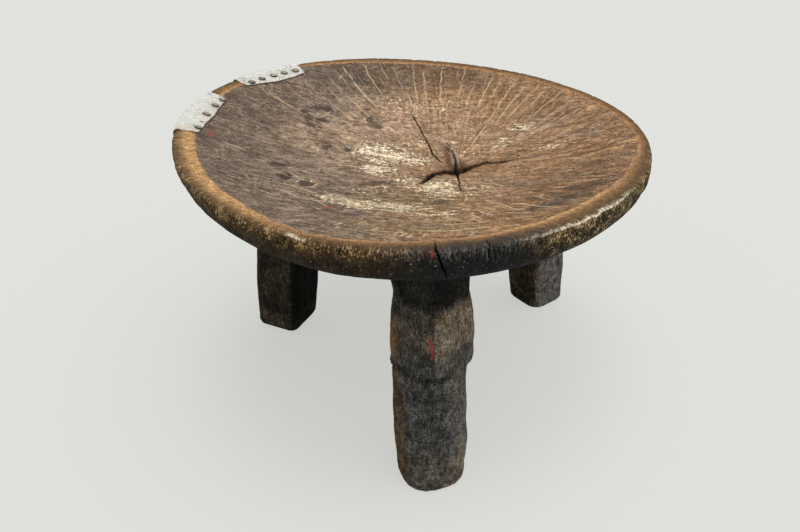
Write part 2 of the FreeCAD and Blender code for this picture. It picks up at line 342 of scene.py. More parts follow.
def blob(x, y, spot):
    # a soft oval: place, half sizes, turn in degrees
    px, py, rx, ry, turn = spot[:5]
    c, s = math.cos(math.radians(turn)), math.sin(math.radians(turn))
    u, v = (x - px) * c + (y - py) * s, (y - py) * c - (x - px) * s
    return np.exp(-((u / rx) ** 2 + (v / ry) ** 2))


def smoothCurve(points, each):
    # even curve through points
    p = np.array(points, float)
    ends = np.vstack([2 * p[0] - p[1], p, 2 * p[-1] - p[-2]])
    made = []
    for k in range(len(p) - 1):
        a, b, c, d = ends[k:k + 4]
        for t in np.arange(each) / each:
            bent = (2 * a - 5 * b + 4 * c - d) * t * t + (3 * b - a - 3 * c + d) * t ** 3
            made.append(0.5 * (2 * b + (c - a) * t + bent))
    return made + [p[-1]]


def seatProfile():
    # half section of the seat from the middle below, round the rim, to the middle of the dish
    r, depth = seat["radius"], seat["depth"]
    shares = ((0.56, 1.0), (0.69, 0.86), (0.79, 0.735), (0.872, 0.635), (0.937, 0.545), (0.969, 0.455),
              (0.99, 0.34), (1.0, 0.19), (1.0, seat["crestRound"] / depth))
    outside = smoothCurve([(r * a, -depth * b) for a, b in shares], 6)
    arc = seat["crestRound"]
    turn = math.radians(90 + math.degrees(math.atan(seat["bandDrop"] / seat["bandWidth"])))
    crest = [(r - arc + arc * math.cos(a), -arc + arc * math.sin(a)) for a in np.linspace(0, turn, 9)[1:]]
    levels = np.linspace(r - arc - 2, 4, 70)
    inside = list(zip(levels, dishHeight(levels)))
    return np.array([tuple(p) for p in outside] + crest + inside)


def ringFaces(rows, around):
    # faces of stacked rings, closed at both ends by the two places that follow them
    faces = []
    for i in range(rows - 1):
        for k in range(around):
            n = (k + 1) % around
            faces.append((i * around + k, i * around + n, (i + 1) * around + n, (i + 1) * around + k))
    for k in range(around):
        n = (k + 1) % around
        faces.append((k, rows * around, n))
        faces.append(((rows - 1) * around + k, (rows - 1) * around + n, rows * around + 1))
    return faces


def wholeSeat(around=360):
    # the seat with no cracks in it, as a closed mesh
    profile = seatProfile()
    bearings = np.arange(around) * 360 / around
    places = []
    for radius, height in profile:
        reach = radius * outline(bearings)
        places.append(np.stack([np.sin(np.radians(bearings)) * reach, -np.cos(np.radians(bearings)) * reach,
                                np.full(around, height)], 1))
    places.append(np.array([[0, 0, profile[0][1]], [0, 0, -seat["dishDepth"]]]))
    places = fromSeat(np.vstack(places))
    mesh = bpy.data.meshes.new("wholeSeat")
    mesh.from_pydata(places.tolist(), [], ringFaces(len(profile), around))
    return mesh


def joined(meshes, name):
    made = bmesh.new()
    for mesh in meshes:
        made.from_mesh(mesh)
    bmesh.ops.remove_doubles(made, verts=made.verts, dist=1e-6)
    bmesh.ops.recalc_face_normals(made, faces=made.faces)
    mesh = bpy.data.meshes.new(name)
    made.to_mesh(mesh)
    made.free()
    return added(name, mesh)


def applied(piece):
    graph = bpy.context.evaluated_depsgraph_get()
    mesh = bpy.data.meshes.new_from_object(piece.evaluated_get(graph))
    piece.modifiers.clear()
    piece.data = mesh
    return mesh


def meshPlaces(mesh):
    places = np.empty(len(mesh.vertices) * 3)
    mesh.vertices.foreach_get("co", places)
    return places.reshape(-1, 3)


def meshNormals(mesh):
    normals = np.empty(len(mesh.vertices) * 3)
    mesh.vertex_normals.foreach_get("vector", normals)
    return normals.reshape(-1, 3)


def keepValues(mesh, values):
    for name, given in values.items():
        data = mesh.attributes.new(name, "FLOAT", "POINT")
        data.data.foreach_set("value", given.astype(np.float32))


# the carved block. Lines and spots are in the seat's axes, in millimetres
carving = {
    "grain": 1.35,            # size of the sculpted mesh
    # line, width at its start and end, depth
    "cracks": [
        ([(40, -31), (46, -28), (53, -20.5), (60, -15), (68, -10), (73, -12), (84, -11.7), (94, -9), (102, -7)],
         7.6, 1.2, 11),
        ([(41, -31), (31, -28.5), (23, -33), (17, -42), (10, -55)], 6.6, 4.6, 9),
        ([(24, -32), (15, -38), (9, -40), (3, -37)], 3.4, 1.4, 4),
        ([(42, -30), (39.2, -8), (36.0, 12), (34.8, 27)], 2.4, 0.8, 11),
        ([(28, -5), (22.5, 9), (18.5, 33), (14.4, 50), (11.5, 64), (6, 83), (2, 98)], 2.0, 0.9, 4),
        ([(42, -34), (43, -50), (42.3, -62), (44, -72)], 1.9, 0.9, 4),
        ([(52, 20), (61, 41), (73, 66), (89, 99)], 1.2, 0.8, 1.2),
        ([(-38, 40), (-43, 25), (-46, 8), (-46, -6), (-41, -20), (-36, -33)], 1.3, 1.0, 1.6),
        ([(-87, -93), (-74, -98), (-63, -105), (-54, -110)], 2.2, 1.0, 1.2),
        ([(-84, 52), (-77, 46), (-70, 41)], 1.6, 0.8, 1.5), ([(-106, 73), (-98, 64), (-92, 57)], 1.6, 0.8, 1.2),
        ([(179, 46), (188, 47.5), (197, 47)], 1.2, 0.8, 2.0),
    ],
    "gouges": [               # oval, turn, depth
        (-99, -63, 4.5, 9, -20, 1.3), (-82, -70, 5.5, 9.5, -12, 1.3), (-108, -40, 8, 5, 20, 0.6),
        (-116, -4, 3.5, 3, 0, 0.8), (-25, -52, 10, 3, 15, 0.7), (-33, 69, 5, 7, 20, 0.7),
        (22, -95, 6, 3.5, 10, 0.6), (-76, 20, 3, 4, 0, 0.5), (-54, 10, 3, 5, 0, 0.5), (104, 56, 2.2, 2.2, 0, 0.8),
    ],
    "lips": (7.5, 5.4),       # rise of the torn lips at the pith, and how far they spread
    "checks": [               # bearing, width, reach, drop, lean of the splits at the front of the rim
        (5.2, 1.9, 25, 33, 11), (15.5, 1.4, 13, 13, 0), (-19, 1.2, 10, 6, 1),
    ],
    # bearing, and how far out the band begins there
    "bandEdge": [(-180, 190), (-172, 190), (-144, 195), (-110, 188), (-73, 184), (-40, 184), (-32, 186), (-20, 192),
                 (-8, 188), (5, 183), (19, 182), (31, 181), (52, 181), (58, 184), (65, 186), (73, 187), (86, 194),
                 (150, 190), (180, 190)],
    # bearings and reach of the wood under the sheets, and how far it is sunk there
    "patched": [(-112.5, -84.5, 26), (-145.5, -122.3, 25.5)],
    "sunk": 0.55,
    "hollowedWall": (-46, 26, 3.0),   # bearing, half width, how far the wall falls back below the crest there
    "collarShift": 2.0,               # how far the front leg's collar stands to the right
    # middle of each foot in metres, splay and bearing of its leg
    "feet": [(0.01417, -0.16022, -5.4, 3.8), (-0.13835, 0.06036, -6.7, -112.0), (0.13887, 0.10016, -5.4, 125.6)],
    # dark ovals: place, half sizes, how pale their rim is
    "spots": [
        (-101, 80, 5.4, 4.8, 0.3), (-89, 91, 6.4, 4.6, 0.3), (-78, 89, 5.0, 4.6, 0.3), (-95, 68, 5.0, 6.0, 0.3),
        (-84, 67, 6.6, 5.8, 0.3), (-91, 54, 4.6, 4.4, 0.2), (-38, 77, 4.4, 5.6, 0.5), (-28, 64, 4.0, 4.4, 0.1),
        (-74, 10, 4.6, 6.4, 0.1), (-54, 11, 3.6, 5.4, 0.1), (-110, -40, 9.5, 4.6, 0.0), (-101, -63, 7.0, 5.0, 0.2),
        (-82, -70, 7.6, 6.2, 0.7), (-70, 14, 2.6, 3.2, 0.2), (104, 56, 2.4, 2.6, 0.4),
    ],
    # place, spread, how many, turn and its spread, length, strength
    "scratches": [
        (-44, -104, 24, 9, 16, -22, 12, 22, 0.9), (-88, -112, 20, 14, 14, -12, 16, 16, 0.6),
        (-104, -60, 18, 22, 14, -10, 22, 15, 0.5), (14, -62, 14, 12, 16, 30, 60, 11, 0.9),
        (4, -106, 26, 10, 18, 0, 45, 12, 0.9), (40, -128, 30, 13, 16, -5, 45, 14, 0.8),
        (66, -120, 18, 10, 7, -30, 20, 20, 0.9), (-28, -158, 30, 10, 14, 60, 22, 9, 0.8),
        (10, -162, 24, 8, 8, 55, 25, 8, 0.7), (-20, -6, 16, 14, 12, 10, 60, 10, 0.7),
        (-60, -28, 20, 24, 10, 0, 40, 12, 0.6), (-128, -10, 14, 26, 10, 10, 30, 11, 0.5),
        (-110, 60, 20, 26, 9, -35, 16, 14, 0.5), (-30, 90, 30, 26, 10, 100, 40, 10, 0.6),
        (60, 60, 40, 36, 10, 60, 50, 11, 0.5), (120, -60, 26, 26, 10, 8, 20, 16, 0.5),
        (130, 20, 26, 26, 6, 20, 20, 16, 0.5), (64, -60, 14, 10, 5, -30, 12, 16, 0.8),
    ],
    # points, width, strength of single pale strokes
    "lines": [
        ([(2, -161), (24, -163), (48, -158), (66, -155)], 1.5, 0.95), ([(-6, -178), (0, -167)], 1.6, 0.9),
        ([(-1, -180), (4, -170)], 1.5, 0.9), ([(-10, -172), (-5, -163)], 1.4, 0.8),
        ([(78, -104), (92, -112), (104, -122)], 1.3, 0.9), ([(66, -96), (80, -118), (88, -126)], 1.2, 0.8),
        ([(-38, 40), (-45, 22), (-48, 6), (-47, -8)], 1.6, 0.8), ([(-67, -92), (-40, -102), (-14, -108)], 1.5, 0.9),
        ([(-60, -104), (-36, -112), (-6, -118), (22, -122)], 1.4, 0.7),
        ([(-99, -78), (-84, -84), (-70, -92)], 1.4, 0.7), ([(55, -52), (70, -58), (82, -66)], 1.2, 0.8),
        ([(-52, -158), (-46, -148)], 1.5, 0.8), ([(-36, -150), (-29, -142)], 1.5, 0.8),
        ([(-26, -166), (-20, -156)], 1.4, 0.8), ([(10, -176), (14, -168)], 1.3, 0.8),
        ([(-160, -18), (-146, -22), (-138, -25)], 1.4, 0.6), ([(-90, 66), (-80, 78), (-74, 92)], 1.3, 0.7),
        ([(-100, 80), (-86, 74)], 1.3, 0.7), ([(-92, 56), (-73, 44)], 1.2, 0.5),
        ([(-100, -52), (-90, -60), (-74, -60)], 1.5, 0.5), ([(-92, -74), (-76, -78), (-72, -66)], 1.6, 0.6),
    ],
    # soft ovals of colour, each with its place, half sizes, turn and strength
    "cream": [
        (-30, 12, 17, 15, 0, 1.15), (-12, 2, 20, 15, 0, 1.1), (-27, -26, 15, 11, -20, 1.1), (6, -3, 17, 14, 0, 0.8),
        (0, 25, 20, 9, 30, 0.45), (26, -64, 18, 20, 10, 0.9), (2, -48, 12, 16, -20, 0.6),
        (-10, -106, 28, 10, -12, 1.05), (-48, -104, 22, 8, -25, 0.8), (20, -118, 30, 9, -5, 0.5),
        (-30, -72, 26, 8, 20, 0.4), (108, 57, 15, 10, 30, 0.6), (88, 28, 16, 12, 40, 0.45),
        (60, 8, 16, 12, 20, 0.3), (130, 12, 26, 7, 12, 0.35), (25, 105, 50, 16, 0, 0.25),
        (-20, 115, 40, 14, 0, 0.2), (-70, 60, 20, 20, 0, 0.15), (55, -70, 18, 30, 0, 0.3),
    ],
    "stains": [
        (-90, 91, 10, 6, 0, 1), (-99, 78, 8, 6, 20, 0.9), (-84, 66, 11, 7, 10, 1), (-80, 92, 6, 6, 0, 0.8),
        (-95, 58, 6, 5, 0, 0.7), (-33, 69, 7, 9, 20, 0.8), (-76, 20, 6, 6, 0, 0.5), (-54, 10, 5, 8, 0, 0.6),
        (-72, 12, 6, 6, 0, 0.5), (-36, 78, 6, 6, 0, 0.5), (-108, -40, 11, 6, 20, 0.8), (-99, -63, 5, 9, -20, 0.9),
        (-82, -70, 6, 9, -12, 0.8), (-116, -4, 5, 4, 0, 0.8), (-25, -55, 18, 6, 15, 0.8),
        (-45, -80, 22, 8, 15, 0.5), (22, -95, 9, 5, 10, 0.7), (128, -104, 22, 7, -15, 0.7),
        (168, -88, 9, 14, 30, 0.6), (150, -40, 30, 10, 10, 0.3), (165, 30, 20, 12, 10, 0.3),
        (-60, -120, 40, 14, -20, 0.35), (-130, -70, 30, 40, 30, 0.4), (95, -62, 30, 9, -10, 0.35),
        (112, -112, 34, 8, 30, 0.85), (140, -84, 26, 7, 24, 0.6),
    ],
    "tan": [
        (-96, 30, 30, 40, 0, 0.7), (-58, 44, 40, 34, 0, 0.9), (-12, 72, 44, 34, 0, 1.0), (46, 50, 46, 46, 0, 0.75),
        (-40, -6, 34, 26, 0, 0.7), (120, 56, 40, 18, 25, 0.9), (150, 30, 30, 10, 15, 0.7),
        (60, -60, 40, 24, 0, 0.5),
    ],
    "olive": [
        (-6, -88, 40, 16, -8, 1), (10, -150, 50, 14, 0, 0.9),
    ],
    "crumbs": [
        (47, -17, 7, 9, 0, 1), (24, -34, 9, 4, 15, 1),
    ],
    "redStains": [
        (-171, -9, 2.2, 3.8, 0, 1), (-60, -117, 4, 3, 0, 0.6),
    ],
    # how much lighter or darker the dish is in places
    "lighter": [
        (-8, 40, 75, 60, 0, 0.3), (20, 125, 90, 40, 0, 0.22), (-20, -60, 60, 50, 0, 0.12),
        (122, -95, 52, 32, 20, -0.47), (160, -20, 40, 60, 0, -0.12), (0, -40, 40, 30, 0, 0.1),
        (-110, -40, 50, 90, 0, 0.12), (140, 80, 40, 40, 0, -0.16), (110, 30, 24, 14, 20, 0.12),
    ],
}


def strongest(x, y, ovals):
    # the strongest of the ovals at each place
    return np.maximum.reduce([np.zeros(len(x))] + [oval[5] * blob(x, y, oval) for oval in ovals])


def scratchLines():
    # every pale stroke on the dish: points, width, strength
    chance = np.random.default_rng(411)
    made = list(carving["lines"])
    for x, y, wide, deep, count, turn, spread, length, strength in carving["scratches"]:
        for _ in range(count):
            middle = np.array([x + chance.normal() * wide, y + chance.normal() * deep])
            a = math.radians(turn + chance.normal() * spread)
            half = length * chance.uniform(0.35, 1.3) / 2
            way, side = np.array([math.cos(a), math.sin(a)]), np.array([-math.sin(a), math.cos(a)])
            made.append(([middle - way * half, middle + side * chance.normal() * half * 0.16, middle + way * half],
                         chance.uniform(0.9, 1.5), strength * chance.uniform(0.5, 1.0)))
    return made


def drawn(x, y, top, lines, reach=0.0):
    # how strongly a line passes each place
    total = np.zeros(len(x))
    for line, width, strength in lines:
        ends, far = np.array(line, float), width + reach
        near = np.where(top & (x > ends[:, 0].min() - far) & (x < ends[:, 0].max() + far)
                        & (y > ends[:, 1].min() - far) & (y < ends[:, 1].max() + far))[0]
        if len(near) == 0:
            continue
        off, share = alongLine(x[near], y[near], line)
        if reach:
            total[near] = np.maximum(total[near], off < reach)
        else:
            mark = step(width * 0.75, width * 0.25, off) * np.clip(4 * share, 0, 1) * np.clip(4 * (1 - share), 0, 1)
            total[near] = np.maximum(total[near], strength * mark)
    return total


def bandEdge(bearing):
    table = np.array(carving["bandEdge"], float)
    return np.interp(bearing, table[:, 0], table[:, 1])


def refined(mesh, passes):
    # finer mesh along the cracks
    for reach, cuts in passes:
        x, y, z = toSeat(meshPlaces(mesh)).T
        near = np.zeros(len(x), bool)
        for line, start, *_ in carving["cracks"]:
            near |= (z > -31) & (alongLine(x, y, line)[0] < reach + start / 2)
        bearing = bearingOf(x, y)
        level = np.hypot(x, y) / outline(bearing)
        for at, _, inwards, drop, lean in carving["checks"]:
            aside = np.radians(bearing - at) * level - lean * -z / 31
            near |= (np.abs(aside) < reach * 0.8) & (level > 202 - inwards) & (z > -drop - 2)
        if reach > 2:
            near |= drawn(x, y, (level < 183) & (z > -31), scratchLines(), 1.9) > 0
            for spot in carving["spots"]:
                near |= (z > -31) & (blob(x, y, (*spot[:4], 0)) > 0.08)
        made = bmesh.new()
        made.from_mesh(mesh)
        edges = [e for e in made.edges if near[e.verts[0].index] and near[e.verts[1].index]]
        bmesh.ops.subdivide_edges(made, edges=edges, cuts=cuts, use_grid_fill=True)
        bmesh.ops.triangulate(made, faces=[f for f in made.faces if len(f.verts) > 4])
        made.to_mesh(mesh)
        made.free()
    return mesh


def legShare(p, places):
    # how much of a place belongs to a leg
    best = np.full(len(places), 1e9)
    for fx, fy, splay, bearing in carving["feet"]:
        lean = math.tan(math.radians(splay))
        ox, oy = math.sin(math.radians(bearing)) * lean, -math.cos(math.radians(bearing)) * lean
        off = np.hypot(places[:, 0] - fx - ox * places[:, 2], places[:, 1] - fy - oy * places[:, 2])
        best = np.minimum(best, off * 1000)
    return step(42, 37, best) * step(-34, -52, p[:, 2])


def around(bearing, middle, half):
    # 1 near a bearing, and 0 well away from it
    return np.exp(-((bearing - middle) / half) ** 4)


def blend(share, first, second):
    return first * (1.0 - share) + second * share


def carve(mesh):
    places, normals = meshPlaces(mesh), meshNormals(mesh)
    p = toSeat(places)
    n = leaned(normals, seat["lean"])
    x, y, z = p.T
    bearing = bearingOf(x, y)
    reach = np.hypot(x, y)
    level = reach / outline(bearing)
    edge = bandEdge(bearing) + softNoise(p * (1, 1, 0), 17, 3) * 1.6 + softNoise(p * (1, 1, 0), 6, 4) * 0.8

    dishEnd, crest = 186, seat["radius"]
    top = (z > -33) & (level < 203) & ((level < 184) | (z > -9))
    hollow = top & (level < 185)
    wall = step(199, 203.5, level) * step(-1.0, -4.0, z) * step(-40, -33, z)
    leg = legShare(p, places)
    under = (1 - step(-33, -29, z)) * (1 - leg) * (level < 200)

    flat = p * (1, 1, 0)
    turned = np.stack([np.sin(np.radians(bearing)) * 200, np.cos(np.radians(bearing)) * 200, z], 1)
    upright = turned * (1, 1, 0.12)
    pithX, pithY = seat["pith"]
    away = np.hypot(x - pithX, y - pithY)
    round_ = np.arctan2(x - pithX, y - pithY)
    rays = np.stack([np.cos(round_) * 150, np.sin(round_) * 150, away * 0.25], 1)

    # general unevenness of hand work, outwards along the surface
    out = softNoise(p, 46, 11) * 0.55 + softNoise(p, 19, 12) * 0.28
    out += softNoise(p, 6.5, 13) * 0.12
    tooled = softNoise(upright, 3.1, 14) * 0.34 + softNoise(upright, 7.5, 15) * 0.5 + softNoise(turned, 24, 16) * 0.5
    out += wall * tooled
    chips = np.maximum(softNoise(p, 8, 17) - 0.28, 0) * 2.6 * step(196, 202, level) * step(-9, -3, z)
    out -= chips + np.maximum(softNoise(p, 3.2, 18) - 0.3, 0) * 1.3 * step(192, 201, level) * step(-16, -5, z)
    long = places * 1000 * (1, 1, 0.10)
    out += leg * (softNoise(long, 2.6, 19) * 0.22 + softNoise(long, 7, 20) * 0.42 + softNoise(p, 27, 21) * 0.8)
    out -= leg * np.maximum(softNoise(p, 7, 22) - 0.35, 0) * 2.4
    out += under * (softNoise(p, 21, 23) * 0.7 + softNoise(p * (1, 0.25, 1), 5, 24) * 0.3)

    # heights over the dish
    height = dishHeight(level)
    height += softNoise(flat, 40, 31) * 0.7 + softNoise(flat, 15, 32) * 0.22
    height += softNoise(rays, 2.2, 33) * 0.10 * step(15, 60, away) + softNoise(flat, 4.5, 34) * 0.09
    height -= 0.55 * np.exp(-((level - edge + 1.5) / 2.2) ** 2)
    groove, gouged = np.zeros(len(x)), np.zeros(len(x))
    slit, along = alongLine(x, y, carving["cracks"][3][0])
    torn = step(0.02, 0.22, along) * step(1.0, 0.55, along)
    rise, spread = carving["lips"]
    lips = rise * np.exp(-(slit / spread) ** 2) * torn
    lips *= 1 + softNoise(flat, 5, 35) * 0.35 + 0.25 * np.sign(x - 37) + softNoise(flat, 2.2, 36) * 0.25
    height += lips
    for k, (line, start, end, depth) in enumerate(carving["cracks"]):
        off, share = alongLine(x, y, line)
        width = start + (end - start) * share ** 0.8
        width *= 1 + softNoise(flat, 5, 40 + k) * 0.5 + softNoise(flat, 1.8, 60 + k) * 0.6
        off = off + softNoise(flat, 3.5, 80 + k) * 0.45 + softNoise(flat, 1.3, 140 + k) * (0.55 if k < 2 else 0.2)
        inside = np.clip(1 - off / np.maximum(width / 2, 0.3), 0, 1) ** 0.6
        fade = np.clip((1 - share) * 6, 0, 1) ** 0.5
        height -= depth * inside * fade * (0.35 + 0.65 * (1 - share)) * hollow
        groove = np.maximum(groove, np.clip(1 - off / (width / 2 + 0.35), 0, 1) ** 0.5 * fade * min(depth / 4, 1))
    for k, spot in enumerate(carving["gouges"]):
        mark = step(0.25, 0.75, blob(x, y, spot) + softNoise(flat, 4, 100 + k) * 0.15)
        height -= spot[5] * mark
        gouged = np.maximum(gouged, mark)
    steady = step(182, dishEnd, level)
    inDish, onBand = top & (level < dishEnd), top & (level >= dishEnd)
    z = np.where(inDish, height * (1 - steady) + (z + height - dishHeight(level)) * steady, z)
    z = np.where(onBand, z - 0.55 * np.exp(-((level - edge + 1.5) / 2.2) ** 2), z)

    # splits through the rim
    split = np.zeros(len(x))
    for k, (at, width, inwards, drop, lean) in enumerate(carving["checks"]):
        aside = np.radians(bearing - at) * level - lean * -p[:, 2] / 31 + softNoise(p, 5, 120 + k) * 0.5
        wide = width * step(crest - inwards, crest, level) * step(-drop, -drop * 0.35, p[:, 2])
        wide *= 1 + softNoise(p, 3, 130 + k) * 0.4
        inside = np.clip(1 - np.abs(aside) / np.maximum(wide / 2, 0.01), 0, 1) ** 0.6
        split = np.maximum(split, inside * (level > 194 - inwards) * (p[:, 2] > -drop))
    out = np.where(inDish, 0, out * np.where(top, 0.6, 1.0))
    out -= split * 5
    at, half, back = carving["hollowedWall"]
    out -= back * around(bearing, at, half) * step(-5, -17, z) * step(120, 170, level) * (1 - leg)

    # nothing stands out under the sheet patches, and the soles stay flat
    for start, end, inset in carving["patched"]:
        covered = step(start - 1, start, bearing) * step(end + 1, end, bearing)
        covered = covered * step(crest - 2 - inset, crest - inset, level) * step(-25, -23, p[:, 2])
        out = out * (1 - covered) - carving["sunk"] * covered * ~inDish
        z = np.where(covered > 0.5, p[:, 2] - carving["sunk"] * inDish, z)
        groove *= 1 - covered
    lost = np.hypot(x - np.sin(np.radians(-92.6)) * 184.5, y + np.cos(np.radians(-92.6)) * 184.5)
    groove = np.maximum(groove, step(2.2, 1.2, lost))
    out *= step(0.0006, 0.007, places[:, 2])
    moved = np.stack([x, y, z], 1) + n * out[:, None]
    world = fromSeat(moved)
    collar = step(0.108, 0.118, places[:, 2]) * step(0.200, 0.165, places[:, 2]) * (places[:, 1] < -0.09)
    world[:, 0] += carving["collarShift"] / 1000 * collar * leg
    world[:, 2] = np.maximum(np.where(places[:, 2] < 0.0008, places[:, 2], world[:, 2]), 0.0)
    mesh.vertices.foreach_set("co", world.ravel())
    mesh.update()

    x, y = p[:, 0], p[:, 1]
    pale = strongest(x, y, carving["cream"])
    dusk = step(118, 150, y + softNoise(flat, 30, 141) * 14) * step(120, 70, np.abs(x + 5)) * 0.6
    leftward = step(-92, -138, x + softNoise(flat, 30, 142) * 25)
    dusk = np.maximum(dusk, 0.5 * leftward * step(-120, 20, y) * step(140, 60, y))
    uneven = softNoise(flat, 7, 143) * 0.2
    for spot in carving["stains"]:
        dusk = np.maximum(dusk, spot[5] * step(0.15, 0.8, blob(x, y, spot) + uneven))
    spots, rims = np.zeros(len(x)), np.zeros(len(x))
    for k, (px, py, wide, deep, rim) in enumerate(carving["spots"]):
        mark = blob(x, y, (px, py, wide, deep, 0)) + softNoise(flat, 3.5, 170 + k) * 0.16
        spots = np.maximum(spots, step(0.36, 0.58, mark) * top)
        rims = np.maximum(rims, 0.55 * rim * step(0.14, 0.26, mark) * step(0.50, 0.36, mark) * top)
    pale = np.maximum(pale, rims)
    crumbs = np.zeros(len(x))
    for k, spread in ((0, 5.2), (1, 5.6), (3, 5.2)):
        off, share = alongLine(x, y, carving["cracks"][k][0])
        crumbs = np.maximum(crumbs, np.exp(-(off / spread) ** 2) * (1 - share * 0.8) * hollow)
    crumbs = np.maximum(crumbs, strongest(x, y, carving["crumbs"]) * hollow)
    red = np.maximum(strongest(x, y, carving["redStains"]),
                     np.exp(-((bearing - 4.5) * 3.5 / 1.1) ** 2 - ((p[:, 2] + 3.3) / 2.5) ** 2) * (level > 199))
    stroke = np.abs(places[:, 0] - 0.0116 - (0.1525 - places[:, 2]) * 0.10) * 1000
    tall = step(0.134, 0.138, places[:, 2]) * step(0.154, 0.150, places[:, 2])
    red = np.maximum(red, step(1.4, 0.4, stroke) * tall * (places[:, 1] < -0.15))

    # how light and how brown each side of each leg is: besides the legs' own dark stain, faces are painted lighter or
    # darker, and greyer or browner, by which way they face, which is painted light and shade
    side, wx, wy, wz = normals[:, 0], places[:, 0], places[:, 1], places[:, 2] * 1000
    right = step(-0.16, 0.22, side + softNoise(places * 1000 * (1, 1, 0.5), 13, 161) * 0.24)
    collar = step(112, 118, wz) * step(176, 168, wz)
    tintFore = 0.41 + 0.17 * step(0.30, 0.75, side) + 0.09 * step(60, 20, wz)
    warmFore = 0.02 + 0.85 * step(-0.62, -0.88, side) + 0.2 * step(0.3, 0.75, side)
    warmFore += 0.30 * step(52, 22, wz + softNoise(places * 1000, 14, 162) * 8)
    tintCollar = blend(right, 0.40, 0.66) - 0.16 * step(140, 128, wz) * right
    warmCollar = blend(right, 0.42, 0.58) - 0.35 * step(140, 128, wz)
    tintFore, warmFore = blend(collar, tintFore, tintCollar), blend(collar, warmFore, warmCollar)
    # painted shade on the front leg's neck under the seat
    neck = step(168, 178, wz)
    tintFore, warmFore = blend(neck, tintFore, 0.19), blend(neck, warmFore, 0.2)
    # painted shadow line under the rim of the front leg's collar
    tintFore -= 0.14 * np.exp(-((wz - 113) / 4) ** 2)
    # left leg, front leg, and else the right one
    legs = [wx < -0.07, wy < -0.09]
    tint = np.select(legs, [blend(right, 0.26, 0.09) + 0.10 * step(34, 10, wz), tintFore], blend(right, 0.30, 0.63))
    warm = np.select(legs, [blend(right, 0.7, 0.15), warmFore], blend(right, 0.95, 0.12))
    gold = np.exp(-((wx + 0.020) * 1000 / 6) ** 2 - ((wz - 135) / 14) ** 2) * (wy < -0.13)

    crestWall = step(199, 203.5, level + softNoise(p, 9, 151) * 1.4) * step(0.5, -3.5, p[:, 2] + softNoise(p, 7, 152))
    sooty = step(-10, 6, bearing + softNoise(turned, 12, 154) * 4)
    return {
        "band": step(-0.6, 0.9, level - edge) * (p[:, 2] > -12),
        "wall": np.maximum(crestWall, ~top & (p[:, 2] < -9)),
        "under": np.clip(step(-36, -44, p[:, 2] + softNoise(p, 12, 153) * 3) * (1 - leg), 0, 1),
        "leg": leg,
        "pale": np.clip(pale, 0, 1),
        "dusk": np.clip(dusk, 0, 1),
        "olive": strongest(x, y, carving["olive"]),
        "groove": np.clip(np.maximum(groove * (top | (level < 181)), split * 1.2), 0, 1),
        "gouge": gouged * top,
        "lip": np.clip(lips / rise, 0, 1) * hollow,
        "soot": sooty * step(34, 20, bearing + softNoise(turned, 12, 155) * 4),
        # the crest: partly worn pale, partly a painted highlight
        "rub": np.clip(step(198, 203, level) * step(-9, -1, p[:, 2]), 0, 1),
        "glint": np.maximum(around(bearing, 41, 15), around(bearing, -21.5, 2.0)) * (level > 199.5),
        "red": red,
        "gold": gold,
        "legTone": np.clip(tint, 0.03, 1),
        "legWarm": np.clip(warm, 0, 1),
        # where the band gets a painted golden highlight
        "glow": around(bearing, -66, 38) * np.exp(-((level - edge - 6.5) / 6) ** 2)
        + 0.9 * around(bearing, 36, 22) * np.exp(-((level - edge - 3) / 3) ** 2),
        "across": np.where((level < 203.5) & (p[:, 2] > -12), np.clip((level - edge) / (203.5 - edge), 0, 1), 1),
        "tan": np.clip(strongest(x, y, carving["tan"]), 0, 1),
        "lift": np.clip(0.47 + sum(oval[5] * blob(x, y, oval) for oval in carving["lighter"]), 0, 1),
        "spot": spots,
        "crumbs": crumbs,
        "stroke": np.clip(drawn(x, y, top & (level < 199), scratchLines()), 0, 1),
        "bright": step(16, 36, bearing) * step(118, 92, bearing),
    }


def makeBody():
    piece = joined([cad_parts["carved_seat_and_legs"].data, wholeSeat()], "carvedBlock")
    remesh = piece.modifiers.new("sculpt", "REMESH")
    remesh.mode = "VOXEL"
    remesh.voxel_size = carving["grain"] / 1000
    mesh = applied(piece)
    print("block remeshed,", len(mesh.polygons), "faces")
    refined(mesh, ((3.5, 1), (1.2, 1)))
    print("cracks refined,", len(mesh.polygons), "faces")
    keepValues(mesh, carve(mesh))
    mesh.shade_smooth()
    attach(piece, "root")
    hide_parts("carved_seat_and_legs")
    return piece


def seatPlace(m):
    # places in the seat's axes, in millimetres
    here = m.take("Object", "ShaderNodeTexCoord")
    return m.take("Vector", "ShaderNodeMapping", {"vector_type": "TEXTURE"}, Vector=here,
                  Location=(seat["axis"][0] / 1000, seat["axis"][1] / 1000, seat["height"] / 1000),
                  Rotation=(0, math.radians(seat["lean"]), 0), Scale=(0.001, 0.001, 0.001))


def largest(m, values):
    total = values[0]
    for value in values[1:]:
        total = m.calc("MAXIMUM", total, value)
    return total


def scored(m, x, y, angle, long, wide, row, bend):
    # noise drawn out in one direction, for scratches
    a = math.radians(angle)
    u = x * (math.cos(a) / long) + y * (math.sin(a) / long)
    v = y * (math.cos(a) / wide) - x * (math.sin(a) / wide)
    return m.noise(m.join(u, v, row), 1.0, 1.0, 0.5, bend)


def stretched(m, upright):
    # places in millimetres, drawn out upright
    here = m.take("Object", "ShaderNodeTexCoord")
    return m.take("Vector", "ShaderNodeMapping", Vector=here, Scale=(1000, 1000, upright))


def shaded(m, colour, amount, dark, light):
    # darker parts turn browner and lighter ones paler, as worn wood does
    low, high = (dark, dark ** 1.06, dark ** 1.12, 1), (light, light ** 1.08, light ** 1.12, 1)
    return m.mix(1.0, colour, m.mix(amount, low, high), "MULTIPLY")


